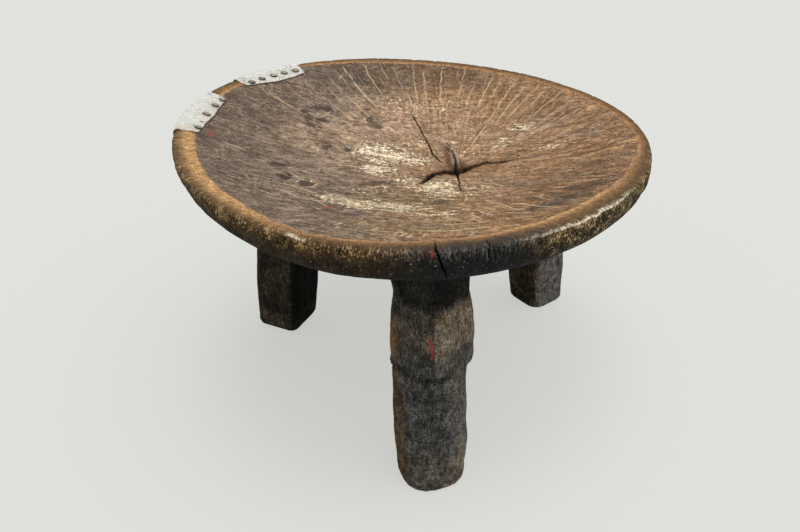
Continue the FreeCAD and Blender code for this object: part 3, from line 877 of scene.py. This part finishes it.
# old, worn wood. Colours are as a paint program gives them
wood = {
    "dishLeft": (120, 100, 86),
    "dishRight": (148, 110, 78),
    "dishDark": (66, 55, 48),
    "cream": (228, 207, 174),
    "ray": (218, 192, 152),
    "olive": (112, 98, 70),
    "tan": (166, 134, 110),
    # across the rim from the dish to the crest, and down the wall
    "band": [
        (0.0, (136, 104, 78)), (0.10, (188, 144, 104)), (0.34, (150, 111, 74)), (0.66, (106, 79, 51)),
        (1.0, (78, 60, 40)),
    ],
    "wallDown": [
        (0.0, (84, 65, 42)), (0.12, (66, 51, 34)), (0.35, (48, 39, 27)), (0.65, (37, 31, 24)), (1.0, (33, 29, 24)),
    ],
    # colour of the painted golden highlight along the band
    "gold": (214, 168, 112),
    "soot": (27, 28, 29),
    "fleck": (190, 154, 98),
    "black": (14, 14, 14),
    "grey": (155, 152, 148),
    "darkBrown": (20, 14, 9),
    "paleBrown": (172, 140, 98),
    "crack": (20, 14, 11),
    "stroke": (232, 208, 168),
    "spot": (66, 57, 50),
    # torn lips at the pith: the dark one is painted shade, the pale one a painted highlight
    "torn": ((92, 68, 50), (232, 204, 178)),
    "debris": ((50, 34, 26), (108, 78, 58)),
    "sootyBand": (62, 54, 47),
    "brightFleck": (212, 186, 142),
    # grey streaks, a painted highlight on the dark front wall
    "frontSheenStreaks": (122, 122, 120),
    "wallDot": (150, 138, 116),
    "legSpeck": (172, 164, 152),
    "legGold": (156, 114, 52),
    "underside": ((30, 26, 22), (46, 38, 30)),
    # crest colours: partly real wear, partly painted highlight; the grey one is a painted sheen on the sooty front
    "rubbedAndSheen": ((200, 168, 120), (128, 128, 124)),
    "glint": (246, 234, 210),
    "red": (164, 50, 44),
    "shine": 0.08,
    "rayWidth": 1.2,
    # angle, width and how rare
    "scratches": [
        (14, 1.3, 0.61), (-28, 1.5, 0.64), (68, 1.3, 0.67), (-62, 1.3, 0.67), (160, 1.1, 0.63), (100, 1.2, 0.69),
    ],
    # angle round the pith, where it starts and ends, strength
    "rays": [
        (-53.5, 125, 225, 0.7), (-47, 150, 215, 0.3), (-41.3, 140, 228, 0.75), (-37.5, 170, 215, 0.35),
        (-34.3, 140, 222, 0.9), (-30.8, 195, 233, 0.7), (-28.4, 150, 234, 1.0), (-22.9, 165, 235, 0.7),
        (-18.6, 195, 232, 0.5), (-15.2, 172, 220, 0.7), (-13.4, 120, 172, 0.8), (-10.2, 150, 224, 1.0),
        (-7.0, 128, 208, 0.7), (-4.4, 105, 150, 0.5), (-1.6, 100, 212, 0.85), (1.2, 90, 140, 0.4),
        (3.3, 188, 218, 0.5), (5.3, 150, 208, 0.85), (9.6, 145, 178, 0.7), (11.6, 100, 150, 0.5),
        (14.3, 132, 208, 0.95), (17.6, 148, 192, 0.6), (22.2, 60, 192, 0.9), (26.3, 108, 192, 0.85),
        (29.8, 118, 192, 0.7), (33.4, 128, 190, 0.6), (38.5, 128, 200, 0.55), (44.6, 108, 195, 0.55),
        (50.5, 105, 185, 0.5), (57, 120, 180, 0.3),
    ],
}


def rayLines(m, turn, away):
    # pale lines that run out from the pith; three ramps hold every third line each
    parts = []
    half, wide = 1.25, 64.0
    for part in range(3):
        # a stop's colour holds how near the line is, where it starts and ends, and its strength
        stops = [(0.0, (0, 0, 0, 1))]
        for angle, start, end, strength in wood["rays"][part::3]:
            for shift, peak in ((-half, 0.0), (0.0, 1.0), (half, 0.0)):
                stops.append(((angle + shift + wide) / (2 * wide), (peak, start / 300, end / 300, strength)))
        stops.append((1.0, (0, 0, 0, 1)))
        packed, strength = m.ramp((turn + wide) / (2 * wide), stops)
        peak, start, end = m.split(packed)
        off = (1.0 - peak) * (half * math.pi / 180) * away
        line = m.rise(off, wood["rayWidth"], wood["rayWidth"] * 0.35) * strength
        line = line * m.calc("GREATER_THAN", peak, 0.02)
        begun = m.rise(away - start * 300, -6, 10)
        ended = m.rise(away - end * 300, 3, -8)
        line = line * begun * ended
        parts.append(line)
    return largest(m, parts)


def makeWood():
    m = Nodes(bpy.data.materials.new("wornWood"))
    place = seatPlace(m)
    x, y, z = m.split(place)
    qx, qy = x - seat["pith"][0], y - seat["pith"][1]
    away = m.calc("SQRT", qx * qx + qy * qy)
    turn = m.calc("ARCTAN2", qx, qy)
    sine, cosine = m.calc("SINE", turn), m.calc("COSINE", turn)
    flat = m.join(x, y, 0.0)

    def radial(fine, long):
        return m.join(cosine * fine, sine * fine, away / long)

    # dish: streaks out from the pith, level ones in the near half, and grain a millimetre or two across
    streak = m.noise(radial(85.0, 14.0), 1.0, 4.0, 0.65, 0.25)
    longer = m.noise(radial(46.0, 34.0), 1.0, 4.0, 0.62, 0.3)
    rightward = m.rise(x + y * -0.3, 50.0, 110.0)
    streak = blend(rightward, streak, longer)
    broad = m.noise(radial(20.0, 40.0), 1.0, 3.0, 0.55, 0.4)
    skewed = y + x * 0.12
    level = m.noise(m.join(x / 13.0, skewed / 2.0, 0.0), 1.0, 4.0, 0.65, 0.4)
    nearHalf = m.rise(y + x * 0.4, -35.0, -90.0)
    streak = blend(nearHalf, streak, level)
    mottle = m.noise(flat, 0.035, 4.0, 0.6, 0.4)
    blotch = m.noise(flat, 0.11, 5.0, 0.65, 0.6)
    patchy = m.noise(flat, 0.30, 4.0, 0.62, 0.5)
    fine = m.noise(flat, 0.75, 3.0, 0.65, 0.3)
    sharp = m.spread(streak)
    grain = m.spread(fine, 0.16)
    side = m.rise(x + (mottle - 0.5) * 190.0, -80.0, 50.0)
    dish = m.mix(side, wood["dishLeft"], wood["dishRight"])
    dish = m.mix(m.value("tan") * m.rise(blotch, 0.34, 0.58, 0.35, 1.0), dish, wood["tan"])
    dish = m.mix(m.value("olive") * 0.5, dish, wood["olive"])
    dusk = m.value("dusk") * m.rise(patchy + streak * 0.6, 0.62, 0.88, 0.45, 1.0)
    dish = m.mix(dusk, dish, wood["dishDark"])
    smear = m.noise(m.join(x / 22.0, skewed / 4.5, 0.0), 1.0, 4.0, 0.62, 0.9)
    calm = m.rise(x, -30.0, -90.0) * m.rise(y, -40.0, 10.0)
    farHalf = m.rise(y - x * 0.35, -10.0, 60.0)
    softer = largest(m, [calm * 0.55, farHalf * 0.5])
    dish = shaded(m, dish, blend(softer, sharp, 0.5), 0.60, 1.46)
    ragged = patchy * 0.9 + (streak * 0.3 + fine * 0.45)
    broken = (ragged + (smear - 0.5) * 0.6) * 1.5
    pale = m.rise(broken + m.value("pale") * 0.42, 1.44, 1.60)
    pale = pale * m.rise(m.value("pale"), 0.02, 0.30)
    dish = m.mix(pale * 0.85, dish, wood["cream"])
    dish = shaded(m, dish, m.value("lift"), 0.62, 1.42)
    for share, dark, light in ((m.spread(smear), 0.70, 1.26), (m.spread(broad, 0.16), 0.82, 1.16),
                               (m.spread(blotch), 0.78, 1.22), (m.spread(patchy), 0.70, 1.30), (grain, 0.62, 1.38)):
        dish = shaded(m, dish, share, dark, light)

    # scratches in several directions
    scratches = largest(m, [m.rise(scored(m, x, y, angle, 12, wide, angle / 7, 0.35), cut, cut + 0.05)
                            for angle, wide, cut in wood["scratches"]])
    where = m.noise(flat, 0.03, 3.0, 0.6)
    worked = m.rise(where, 0.42, 0.66, 0.12, 1.0) + m.value("pale") * 1.2
    scratches = scratches * m.calc("MINIMUM", worked, 1.0)
    dish = m.mix(scratches * 0.5, dish, wood["cream"])
    strokes = m.value("stroke") * m.rise(fine, 0.34, 0.50, 0.35, 1.0)
    dish = m.mix(strokes, dish, wood["stroke"])
    specks = m.rise(m.noise(flat, 0.42, 1.0, 0.4), 0.715, 0.745)
    dish = m.mix(specks * 0.75, dish, wood["cream"])

    # rays of the log, each a little bent
    bend = (200.0 - away) * 0.03
    degrees = turn * (180 / math.pi)
    bend = bend * m.rise(degrees, -25.0, -8.0)
    wobble = (m.noise(radial(9.0, 13.0), 1.0, 2.0) - 0.5) * 1.7
    bent = degrees + bend + wobble
    rays = rayLines(m, bent, away)
    gaps = m.rise(m.noise(radial(60.0, 8.0), 1.0, 2.0, 0.6), 0.35, 0.46)
    rays = rays * gaps
    thin = m.rise(m.noise(radial(110.0, 30.0), 1.0, 1.0, 0.4), 0.655, 0.70)
    thin = thin * (m.rise(y, -10.0, 60.0) * m.rise(away, 45.0, 90.0, 0.0, 0.28))
    thin = thin * m.rise(calm, 0.0, 0.8, 1.0, 0.3)
    rays = m.calc("MAXIMUM", rays, thin)
    dish = m.mix(rays * 0.92, dish, wood["ray"])
    dish = m.mix(m.value("gouge") * 0.3, dish, wood["dishDark"])
    dish = m.mix(m.value("spot") * m.rise(fine, 0.36, 0.6, 0.95, 0.5), dish, wood["spot"])
    # the lips' left side dark as painted shade, their right side pale as painted highlight
    torn = m.mix(m.rise((fine - 0.5) * 14.0 + x, 34.0, 39.0), *wood["torn"])
    dish = m.mix(m.value("lip") * 0.85, dish, torn)
    crumbled = m.rise(m.value("crumbs") + (fine - 0.5) * 2.8, 0.30, 0.56)
    crumbled = crumbled * m.rise(m.value("lip"), 0.3, 0.9, 0.9, 0.35)
    dish = m.mix(crumbled, dish, m.mix(m.rise(patchy, 0.4, 0.6), *wood["debris"]))

    # rim band, golden and mottled
    turned = m.calc("ARCTAN2", x, y)
    about, across = m.calc("SINE", turned) * seat["radius"], m.calc("COSINE", turned) * seat["radius"]
    fibre = m.noise(m.join(about, across, z * 0.3), 0.62, 4.0, 0.68, 0.3)
    hair = m.spread(fibre)
    bandMottle = m.noise(flat, 0.14, 5.0, 0.68, 0.4)
    speckle = m.noise(m.join(about, across, z * 0.62), 0.8, 3.0, 0.7, 0.4)
    tuft = m.noise(m.join(about, across, z), 0.12, 3.0, 0.6)
    front = m.value("soot")
    band = m.ramp(m.value("across") + (bandMottle - 0.5) * 0.5, wood["band"])[0]
    # painted highlight: a golden sheen along the band
    lit = m.value("glow") * m.rise(speckle + bandMottle * 0.5, 0.56, 0.86, 0.5, 1.0)
    band = m.mix(lit, band, wood["gold"])
    for share, dark, light in ((m.spread(bandMottle), 0.74, 1.22), (grain, 0.56, 1.36), (m.spread(patchy), 0.76, 1.2)):
        band = shaded(m, band, share, dark, light)
    band = m.mix(m.rise(speckle, 0.56, 0.66) * m.rise(m.value("across"), 0.3, 0.9, 0.15, 0.7), band, wood["fleck"])
    sooty = m.rise(bandMottle + m.value("across") * 0.5, 0.55, 0.95)
    band = m.mix(front * sooty, band, wood["sootyBand"])

    # wall: dark, with golden flecks near the crest and sooty at the front
    wall = m.ramp(z / -42.0, wood["wallDown"])[0]
    wall = shaded(m, wall, m.spread(m.noise(place, 0.09, 3.0, 0.6)), 0.6, 1.4)
    wall = m.mix(front * 0.95, wall, wood["soot"])
    flecks = m.rise(speckle + (tuft - 0.5) * 0.6, 0.53, 0.66)
    high = m.rise(z, -15.0, -1.5, 0.05, 1.0)
    high = m.calc("MAXIMUM", high, m.value("bright") * m.rise(z, -30.0, -8.0, 0.1, 1.1))
    flecks = flecks * high * m.rise(front, 0.0, 1.0, 0.85, 0.05)
    wall = m.mix(flecks, wall, m.mix(m.value("bright"), wood["fleck"], wood["brightFleck"]))
    # painted highlight: grey streaks near the top of the sooty front wall
    frontSheenStreaks = m.rise(fibre, 0.54, 0.66) * (front * m.rise(z, -14.0, -1.0))
    wall = m.mix(frontSheenStreaks * 0.6, wall, wood["frontSheenStreaks"])
    wall = shaded(m, wall, hair, 0.62, 1.4)
    dots = m.rise(m.noise(place, 0.55, 1.0, 0.4), 0.70, 0.735)
    wall = m.mix(dots * m.rise(z, -40.0, -4.0, 0.15, 0.7), wall, wood["wallDot"])

    # legs and underside
    every, brushed = stretched(m, 1000), stretched(m, 800)
    stripes = m.noise(stretched(m, 160), 0.5, 4.0, 0.65, 0.2)
    cloud = m.noise(every, 0.07, 4.0, 0.62, 0.3)
    grit = m.noise(brushed, 0.7, 4.0, 0.72, 0.2)
    lightness = m.value("legTone") + (cloud - 0.5) * 0.62
    lightness = lightness + (stripes - 0.5) * 0.62
    lightness = m.calc("POWER", m.calc("MAXIMUM", lightness, 0.02), 2.2)
    warmth = m.value("legWarm") + (m.noise(every, 0.05, 3.0, 0.6) - 0.5) * 0.5
    leg = m.mix(warmth, m.mix(lightness, wood["black"], wood["grey"]),
                m.mix(lightness, wood["darkBrown"], wood["paleBrown"]))
    leg = shaded(m, leg, m.rise(m.noise(brushed, 0.22, 4.0, 0.7, 0.5), 0.38, 0.62), 0.64, 1.36)
    leg = shaded(m, leg, m.rise(grit, 0.38, 0.62), 0.54, 1.72)
    specks = m.rise(m.noise(every, 0.6, 2.0, 0.6, 0.2) + (cloud - 0.5) * 0.3, 0.60, 0.67)
    leg = m.mix(specks * m.rise(m.value("legTone"), 0.15, 0.4, 0.02, 0.34), leg, wood["legSpeck"])
    leg = m.mix(m.value("gold") * m.rise(grit, 0.4, 0.55), leg, wood["legGold"])
    under = shaded(m, m.mix(m.rise(cloud, 0.4, 0.6), *wood["underside"]), m.rise(grit, 0.34, 0.66), 0.7, 1.3)

    colour = dish
    for zone, part in (("band", band), ("wall", wall), ("under", under), ("leg", leg)):
        colour = m.mix(m.value(zone), colour, part)
    # crest worn pale and painted with a highlight, grey as a painted sheen at the front
    rubbedAndSheen = m.value("rub") * m.rise(speckle + tuft * 0.35, 0.68, 0.80)
    rubbedAndSheen = rubbedAndSheen * m.rise(front, 0.0, 1.0, 0.6, 0.45)
    colour = m.mix(rubbedAndSheen, colour, m.mix(front, *wood["rubbedAndSheen"]))
    line = m.calc("ABSOLUTE", z + 1.0 + (tuft - 0.5) * 3.0)
    glint = m.rise(line, 0.95, 0.3) * m.rise(fibre, 0.40, 0.56, 0.15, 1.0)
    glint = m.value("glint") * glint
    colour = m.mix(glint * 0.9, colour, wood["glint"])
    colour = m.mix(m.value("groove"), colour, wood["crack"])
    colour = m.mix(m.value("red") * 0.75, colour, wood["red"])

    rough = m.rise(streak * 0.5 + blotch * 0.5, 0.3, 0.7, 0.42, 0.66)
    dull = largest(m, [m.value(zone) for zone in ("wall", "leg", "under", "groove")])
    rough = rough + dull * 0.32
    relief = streak * 0.8 + fine * 0.5
    relief = relief - scratches * 0.4
    outer = fibre + speckle * 0.9
    limb = stripes + grit * 0.7

    height = blend(m.value("band"), relief, outer)
    height = blend(m.value("leg"), height, limb)
    shader = m.node("ShaderNodeBsdfPrincipled", Base_Color=colour, Roughness=rough,
                    Normal=m.bump(height, 0.0007, 0.9))
    shader.inputs["Specular IOR Level"].default_value = wood["shine"]
    return m.finish(shader)


# sheet patches bent over the rim. Bearings in degrees, millimetres
patches = {
    "thick": 0.9,
    "gap": 0.15,
    "cell": 0.85,
    "dents": ((11, 0.16), (4.5, 0.09)),     # size and height
    "dimple": (4.0, 0.28),
    "lostNail": (-92.6, 184.2, 1.3),
    "left_rim_patch": {
        "name": "leftPatch", "ends": (-111.8, -85.3), "drop": 21,
        "inner": [(-112.5, 182.8), (-106, 180.2), (-99, 179.0), (-92, 180.4), (-85.3, 183.2)],
        "corners": (7.0, 1.5, 2.0, 2.0),    # far inner, near inner, far outer, near outer
        "seed": 201, "marks": 0.85, "stain": 1.0,
    },
    "back_rim_patch": {
        "name": "backPatch", "ends": (-144.6, -123.2), "drop": 19,
        "inner": [(-144.6, 182.6), (-140, 179.2), (-136, 177.9), (-132.6, 178.6), (-128.2, 181.6),
                  (-123.2, 186.8)],
        "corners": (2.5, 3.0, 2.0, 2.0),
        "seed": 211, "marks": 1.0, "stain": 0.35,
    },
    "white": (240, 239, 231),
    "grey": (160, 158, 150),
    "stain": (206, 174, 142),
    "grime": (62, 54, 44),
    "pit": (96, 90, 80),
    "scratch": (248, 248, 244),
    # colour of the painted shadow line along the sheet's borders
    "edge": (112, 100, 86),
    "dot": (118, 138, 226),
    "metal": 0.35,
    "scratches": ((35, 0.7), (-50, 0.8), (80, 0.6)),       # angle and width
}


def nailPlace(node):
    # head's top, tip and direction of a nail
    points = meshPlaces(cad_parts[node].data)
    middle = points.mean(0)
    main = np.linalg.svd(points - middle)[2][0]
    t = (points - middle) @ main
    ends = [points[t > t.max() - 0.0003], points[t < t.min() + 0.0003]]
    wide = [np.linalg.norm(e - e.mean(0), axis=1).max() for e in ends]
    if wide[1] > wide[0]:
        ends = ends[::-1]
    top, tip = ends[0].mean(0), ends[1].mean(0)
    return top, tip, (top - tip) / np.linalg.norm(top - tip)


nailNodes = sorted(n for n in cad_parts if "nail" in n)
nailPlaces = {n: nailPlace(n) for n in nailNodes}


def makePatch(node):
    patch = patches[node]
    profile = seatProfile()
    runs = np.linalg.norm(profile[1:] - profile[:-1], axis=1)
    along = np.concatenate([[0], np.cumsum(runs)])
    crest = int(np.argmax(profile[:, 1]))
    low = np.interp(-patch["drop"], profile[:crest, 1], along[:crest])
    inner = np.array(patch["inner"], float)
    start, end = patch["ends"]
    width = math.radians(end - start) * seat["radius"]
    columns = int(width / patches["cell"])
    bearings = np.linspace(start, end, columns + 1)
    levels = np.interp(bearings, inner[:, 0], inner[:, 1])
    levels += softNoise(np.stack([bearings * 3.5, bearings * 0, bearings * 0 + 7], 1), 13, patch["seed"]) * 0.7
    high = np.interp(-levels, -profile[crest + 1:, 0], along[crest + 1:])
    rows = int((high.max() - low) / patches["cell"])
    farIn, nearIn, farOut, nearOut = patch["corners"]
    fromStart = np.radians(bearings - start) * seat["radius"]
    fromEnd = np.radians(end - bearings) * seat["radius"]

    def corner(distance, radius):
        d = np.clip(radius - distance, 0, radius)
        return radius - np.sqrt(np.maximum(radius ** 2 - d ** 2, 0))

    last = high - corner(fromStart, farIn) - corner(fromEnd, nearIn)
    first = low + corner(fromStart, farOut) + corner(fromEnd, nearOut)
    uneven = softNoise(np.stack([bearings * 3.5, bearings * 0 + 3, bearings * 0], 1), 11, patch["seed"] + 1)
    first = first + uneven * 0.5
    share = np.linspace(0, 1, rows + 1)[None, :]
    s = first[:, None] * (1 - share) + last[:, None] * share
    radius, height = np.interp(s, along, profile[:, 0]), np.interp(s, along, profile[:, 1])
    ahead = np.stack([np.interp(s + 0.6, along, profile[:, 0]) - np.interp(s - 0.6, along, profile[:, 0]),
                      np.interp(s + 0.6, along, profile[:, 1]) - np.interp(s - 0.6, along, profile[:, 1])], 2)
    ahead /= np.linalg.norm(ahead, axis=2)[:, :, None]
    b = np.broadcast_to(bearings[:, None], s.shape)
    reach = radius * outline(b)
    turn = np.radians(b)
    flat = np.stack([np.sin(turn) * reach, -np.cos(turn) * reach, height], 2).reshape(-1, 3)
    away, up = ahead[:, :, 1], -ahead[:, :, 0]
    normal = np.stack([np.sin(turn) * away, -np.cos(turn) * away, up], 2).reshape(-1, 3)
    heads = toSeat(np.array([v[0] for n, v in nailPlaces.items() if n.startswith(node.split("_")[0])]))
    near = np.min([np.linalg.norm(flat - h, axis=1) for h in heads], axis=0)
    size, deep = patches["dimple"]
    out = patches["gap"] - deep * np.exp(-(near / size) ** 2)
    for k, (bump, rise) in enumerate(patches["dents"]):
        out = out + softNoise(flat, bump, patch["seed"] + 3 + k) * rise * step(2.5, 6, near)
    border = np.minimum(np.minimum(fromStart, fromEnd)[:, None], np.minimum(s - first[:, None], last[:, None] - s))
    border = border.ravel()
    out = out + step(5, 0, border) * softNoise(flat, 14, patch["seed"] + 6) * 0.3
    places = flat + normal * out[:, None]
    at, level, hole = patches["lostNail"]
    centre = np.array([math.sin(math.radians(at)), -math.cos(math.radians(at))]) * level * outline(at)
    off = places[:, :2] - centre
    gone = np.linalg.norm(off, axis=1)
    pushed = (gone < hole * 1.25) & (places[:, 2] > -12)
    places[pushed, :2] = centre + off[pushed] / np.maximum(gone[pushed], 1e-6)[:, None] * hole
    index = np.arange(places.shape[0]).reshape(s.shape)
    quads = np.stack([index[:-1, :-1], index[1:, :-1], index[1:, 1:], index[:-1, 1:]], 2).reshape(-1, 4)
    quads = quads[~pushed[quads].all(1)]
    mesh = bpy.data.meshes.new(patch["name"])
    mesh.from_pydata(fromSeat(places).tolist(), [], quads.tolist())
    mesh.update()
    dot = np.hypot(places[:, 0] + 188.4, places[:, 1] - 70.4)
    held = np.exp(-((near - 3.3) / 1.1) ** 2) + (near < 3.3) + 0.8 * np.exp(-((gone - 1) / 0.8) ** 2)
    stained = step(-1.5, -8, flat[:, 2]) + 0.8 * step(14, 3, np.broadcast_to(fromEnd[:, None], s.shape).ravel())
    keepValues(mesh, {
        "grime": np.clip(held, 0, 1),
        # where the painted shadow line along the borders goes
        "edge": step(1.6, 0.2, border),
        "stain": patch["stain"] * np.clip(stained, 0, 1),
        "marks": np.full(len(places), patch["marks"]) * step(22, 5, near),
        "dot": np.exp(-(dot / 1.6) ** 2),
    })
    piece = added(patch["name"], mesh)
    solid = piece.modifiers.new("thickness", "SOLIDIFY")
    solid.thickness, solid.offset = patches["thick"] / 1000, 1
    bevel = piece.modifiers.new("edge", "BEVEL")
    bevel.width, bevel.segments, bevel.limit_method = 0.0002, 1, "ANGLE"
    bevel.angle_limit = math.radians(60)
    if (mesh.polygons[0].normal @ Vector(normal[0])) < 0:
        mesh.flip_normals()
    applied(piece).shade_smooth()
    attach(piece, "root")
    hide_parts(node)
    return piece


def makeSheet():
    m = Nodes(bpy.data.materials.new("scratchedSheet"))
    place = seatPlace(m)
    x, y = m.split(place)[:2]
    cloud = m.noise(place, 0.10, 4.0, 0.62, 0.4)
    smudge = m.noise(place, 0.42, 4.0, 0.66, 0.8)
    fine = m.noise(place, 0.95, 3.0, 0.65, 0.3)
    marked = smudge + m.value("marks") * 0.10
    colour = m.mix(m.rise(marked + (cloud - 0.5) * 0.8, 0.52, 0.77), patches["white"], patches["grey"])
    colour = m.mix(m.value("stain") * m.rise(cloud, 0.36, 0.6, 0.15, 0.85), colour, patches["stain"])
    colour = shaded(m, colour, m.spread(cloud), 0.86, 1.08)
    colour = shaded(m, colour, m.spread(fine), 0.93, 1.05)
    pits = m.rise(m.noise(place, 0.5, 2.0, 0.6, 0.3) + m.value("marks") * 0.06, 0.70, 0.75)
    colour = m.mix(pits * 0.8, colour, patches["pit"])
    scratch = largest(m, [m.rise(scored(m, x, y, angle, 9, wide, angle, 0.2), 0.66, 0.72)
                          for angle, wide in patches["scratches"]])
    colour = m.mix(scratch * 0.6, colour, patches["scratch"])
    dirt = m.value("grime") * m.rise(fine + smudge * 0.6, 0.55, 0.8, 0.75, 1.0)
    colour = m.mix(dirt * 0.85, colour, patches["grime"])
    # painted shadow along the sheet's borders
    colour = m.mix(m.value("edge") * m.rise(smudge, 0.45, 0.6, 0.0, 0.55), colour, patches["edge"])
    colour = m.mix(m.value("dot") * 0.85, colour, patches["dot"])
    metal = m.rise(m.value("grime"), 0.0, 0.8, patches["metal"], 0.1)
    rough = m.rise(smudge, 0.4, 0.64, 0.34, 0.58)
    height = fine + smudge * 1.2 - scratch * 0.6
    shader = m.node("ShaderNodeBsdfPrincipled", Base_Color=colour, Roughness=rough, Metallic=metal,
                    Normal=m.bump(height, 0.00025, 0.8))
    return m.finish(shader)


# hand-driven iron nails
nails = {
    "head": 3.45,
    "rise": 1.1,
    "shank": 1.2,
    "dome": [(0.0, 1.0), (0.5, 0.995), (1.05, 0.97), (1.6, 0.92), (2.1, 0.84), (2.5, 0.72), (2.8, 0.56), (3.0, 0.38)],
    "around": 28,
    "centre": (172, 165, 146),
    "dullCentre": (124, 118, 102),
    "rim": (44, 39, 32),
    "rust": (126, 74, 44),
    "rusty": {"left_patch_seat_nail_3": 0.6, "left_patch_seat_nail_2": 0.3},
}


def makeNail(node, number):
    top, tip, up = nailPlaces[node]
    chance = np.random.default_rng(300 + number)
    side = np.cross(up, (0.0, 0.0, 1.0))
    side = side / np.linalg.norm(side) if np.linalg.norm(side) > 1e-3 else np.array([1.0, 0, 0])
    other = np.cross(up, side)
    long = np.linalg.norm(top - tip) * 1000 - nails["rise"]
    head, rise, shank = nails["head"], nails["rise"], nails["shank"]
    profile = [(radius, rise * share) for radius, share in nails["dome"]]
    profile += [(head, rise * 0.20), (3.04, 0.04), (2.6, -0.02), (1.6, -0.05),
                (shank, -0.5), (shank, -long + 3.2), (shank * 0.55, -long + 1.3), (0.0, -long)]
    turns = np.arange(nails["around"]) * 2 * math.pi / nails["around"]
    lumps = [chance.uniform(-0.05, 0.05) for _ in range(4)]
    phases = chance.uniform(0, 6.28, 4)
    swell = 1 + sum(a * np.cos((k + 2) * turns + q) for k, (a, q) in enumerate(zip(lumps, phases)))
    tilt, towards = chance.uniform(0.0, 0.10), chance.uniform(0, 6.28)
    places, rims = [], []
    for radius, height in profile[1:-1]:
        r = radius * (swell if radius > shank else 1)
        h = height + (tilt * radius * np.cos(turns - towards) if height > 0.1 else 0)
        places.append(top + (r * np.cos(turns))[:, None] * side / 1000 + (r * np.sin(turns))[:, None] * other / 1000
                      + (np.broadcast_to(h, turns.shape) - rise)[:, None] * up / 1000)
        rims.append(np.full(len(turns), step(1.9, 3.2, radius) if height > 0 else 1.0))
    places = np.vstack([*places, [top], [tip]])
    places += up * softNoise(places * 1000, 1.6, 320 + number)[:, None] * 0.00008
    rims = np.concatenate([*rims, [0.0], [1.0]])
    faces = [(face[0], *face[:0:-1]) for face in ringFaces(len(profile) - 2, nails["around"])]      # facing outwards
    mesh = bpy.data.meshes.new(node.replace("_", "-"))
    mesh.from_pydata(places.tolist(), [], faces)
    mesh.update()
    mesh.shade_smooth()
    keepValues(mesh, {"rim": rims, "rust": np.full(len(places), nails["rusty"].get(node, chance.uniform(0.05, 0.3))),
                      "pale": np.full(len(places), chance.uniform(0, 1))})
    parts = node.split("_")
    piece = added(parts[0] + parts[2].capitalize() + "Nail" + parts[-1], mesh)
    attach(piece, "root")
    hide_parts(node)
    return piece


def makeIron():
    m = Nodes(bpy.data.materials.new("darkIron"))
    place = seatPlace(m)
    pitted = m.noise(place, 0.9, 3.0, 0.65, 0.3)
    cloud = m.noise(place, 0.35, 2.0, 0.6)
    colour = m.mix(m.value("pale"), nails["dullCentre"], nails["centre"])
    worn = m.value("rim") + (pitted - 0.5) * 0.9
    colour = m.mix(m.rise(worn, 0.45, 1.0), colour, nails["rim"])
    rusted = m.value("rust") * m.rise(pitted + cloud * 0.5, 0.6, 0.9, 0.3, 1.2)
    colour = m.mix(rusted, colour, nails["rust"])
    colour = shaded(m, colour, m.spread(pitted), 0.7, 1.3)
    shader = m.node("ShaderNodeBsdfPrincipled", Base_Color=colour, Roughness=m.rise(pitted, 0.35, 0.65, 0.42, 0.66),
                    Metallic=m.rise(rusted, 0.0, 0.6, 0.4, 0.05), Normal=m.bump(pitted, 0.0003, 0.7))
    return m.finish(shader)


body = makeBody()
body.data.materials.clear()
body.data.materials.append(makeWood())
print("carved block made")

sheetMetal = makeSheet()
for node in ("left_rim_patch", "back_rim_patch"):
    piece = makePatch(node)
    piece.data.materials.append(sheetMetal)
iron = makeIron()
for number, node in enumerate(nailNodes):
    makeNail(node, number).data.materials.append(iron)
print("patches and nails made")
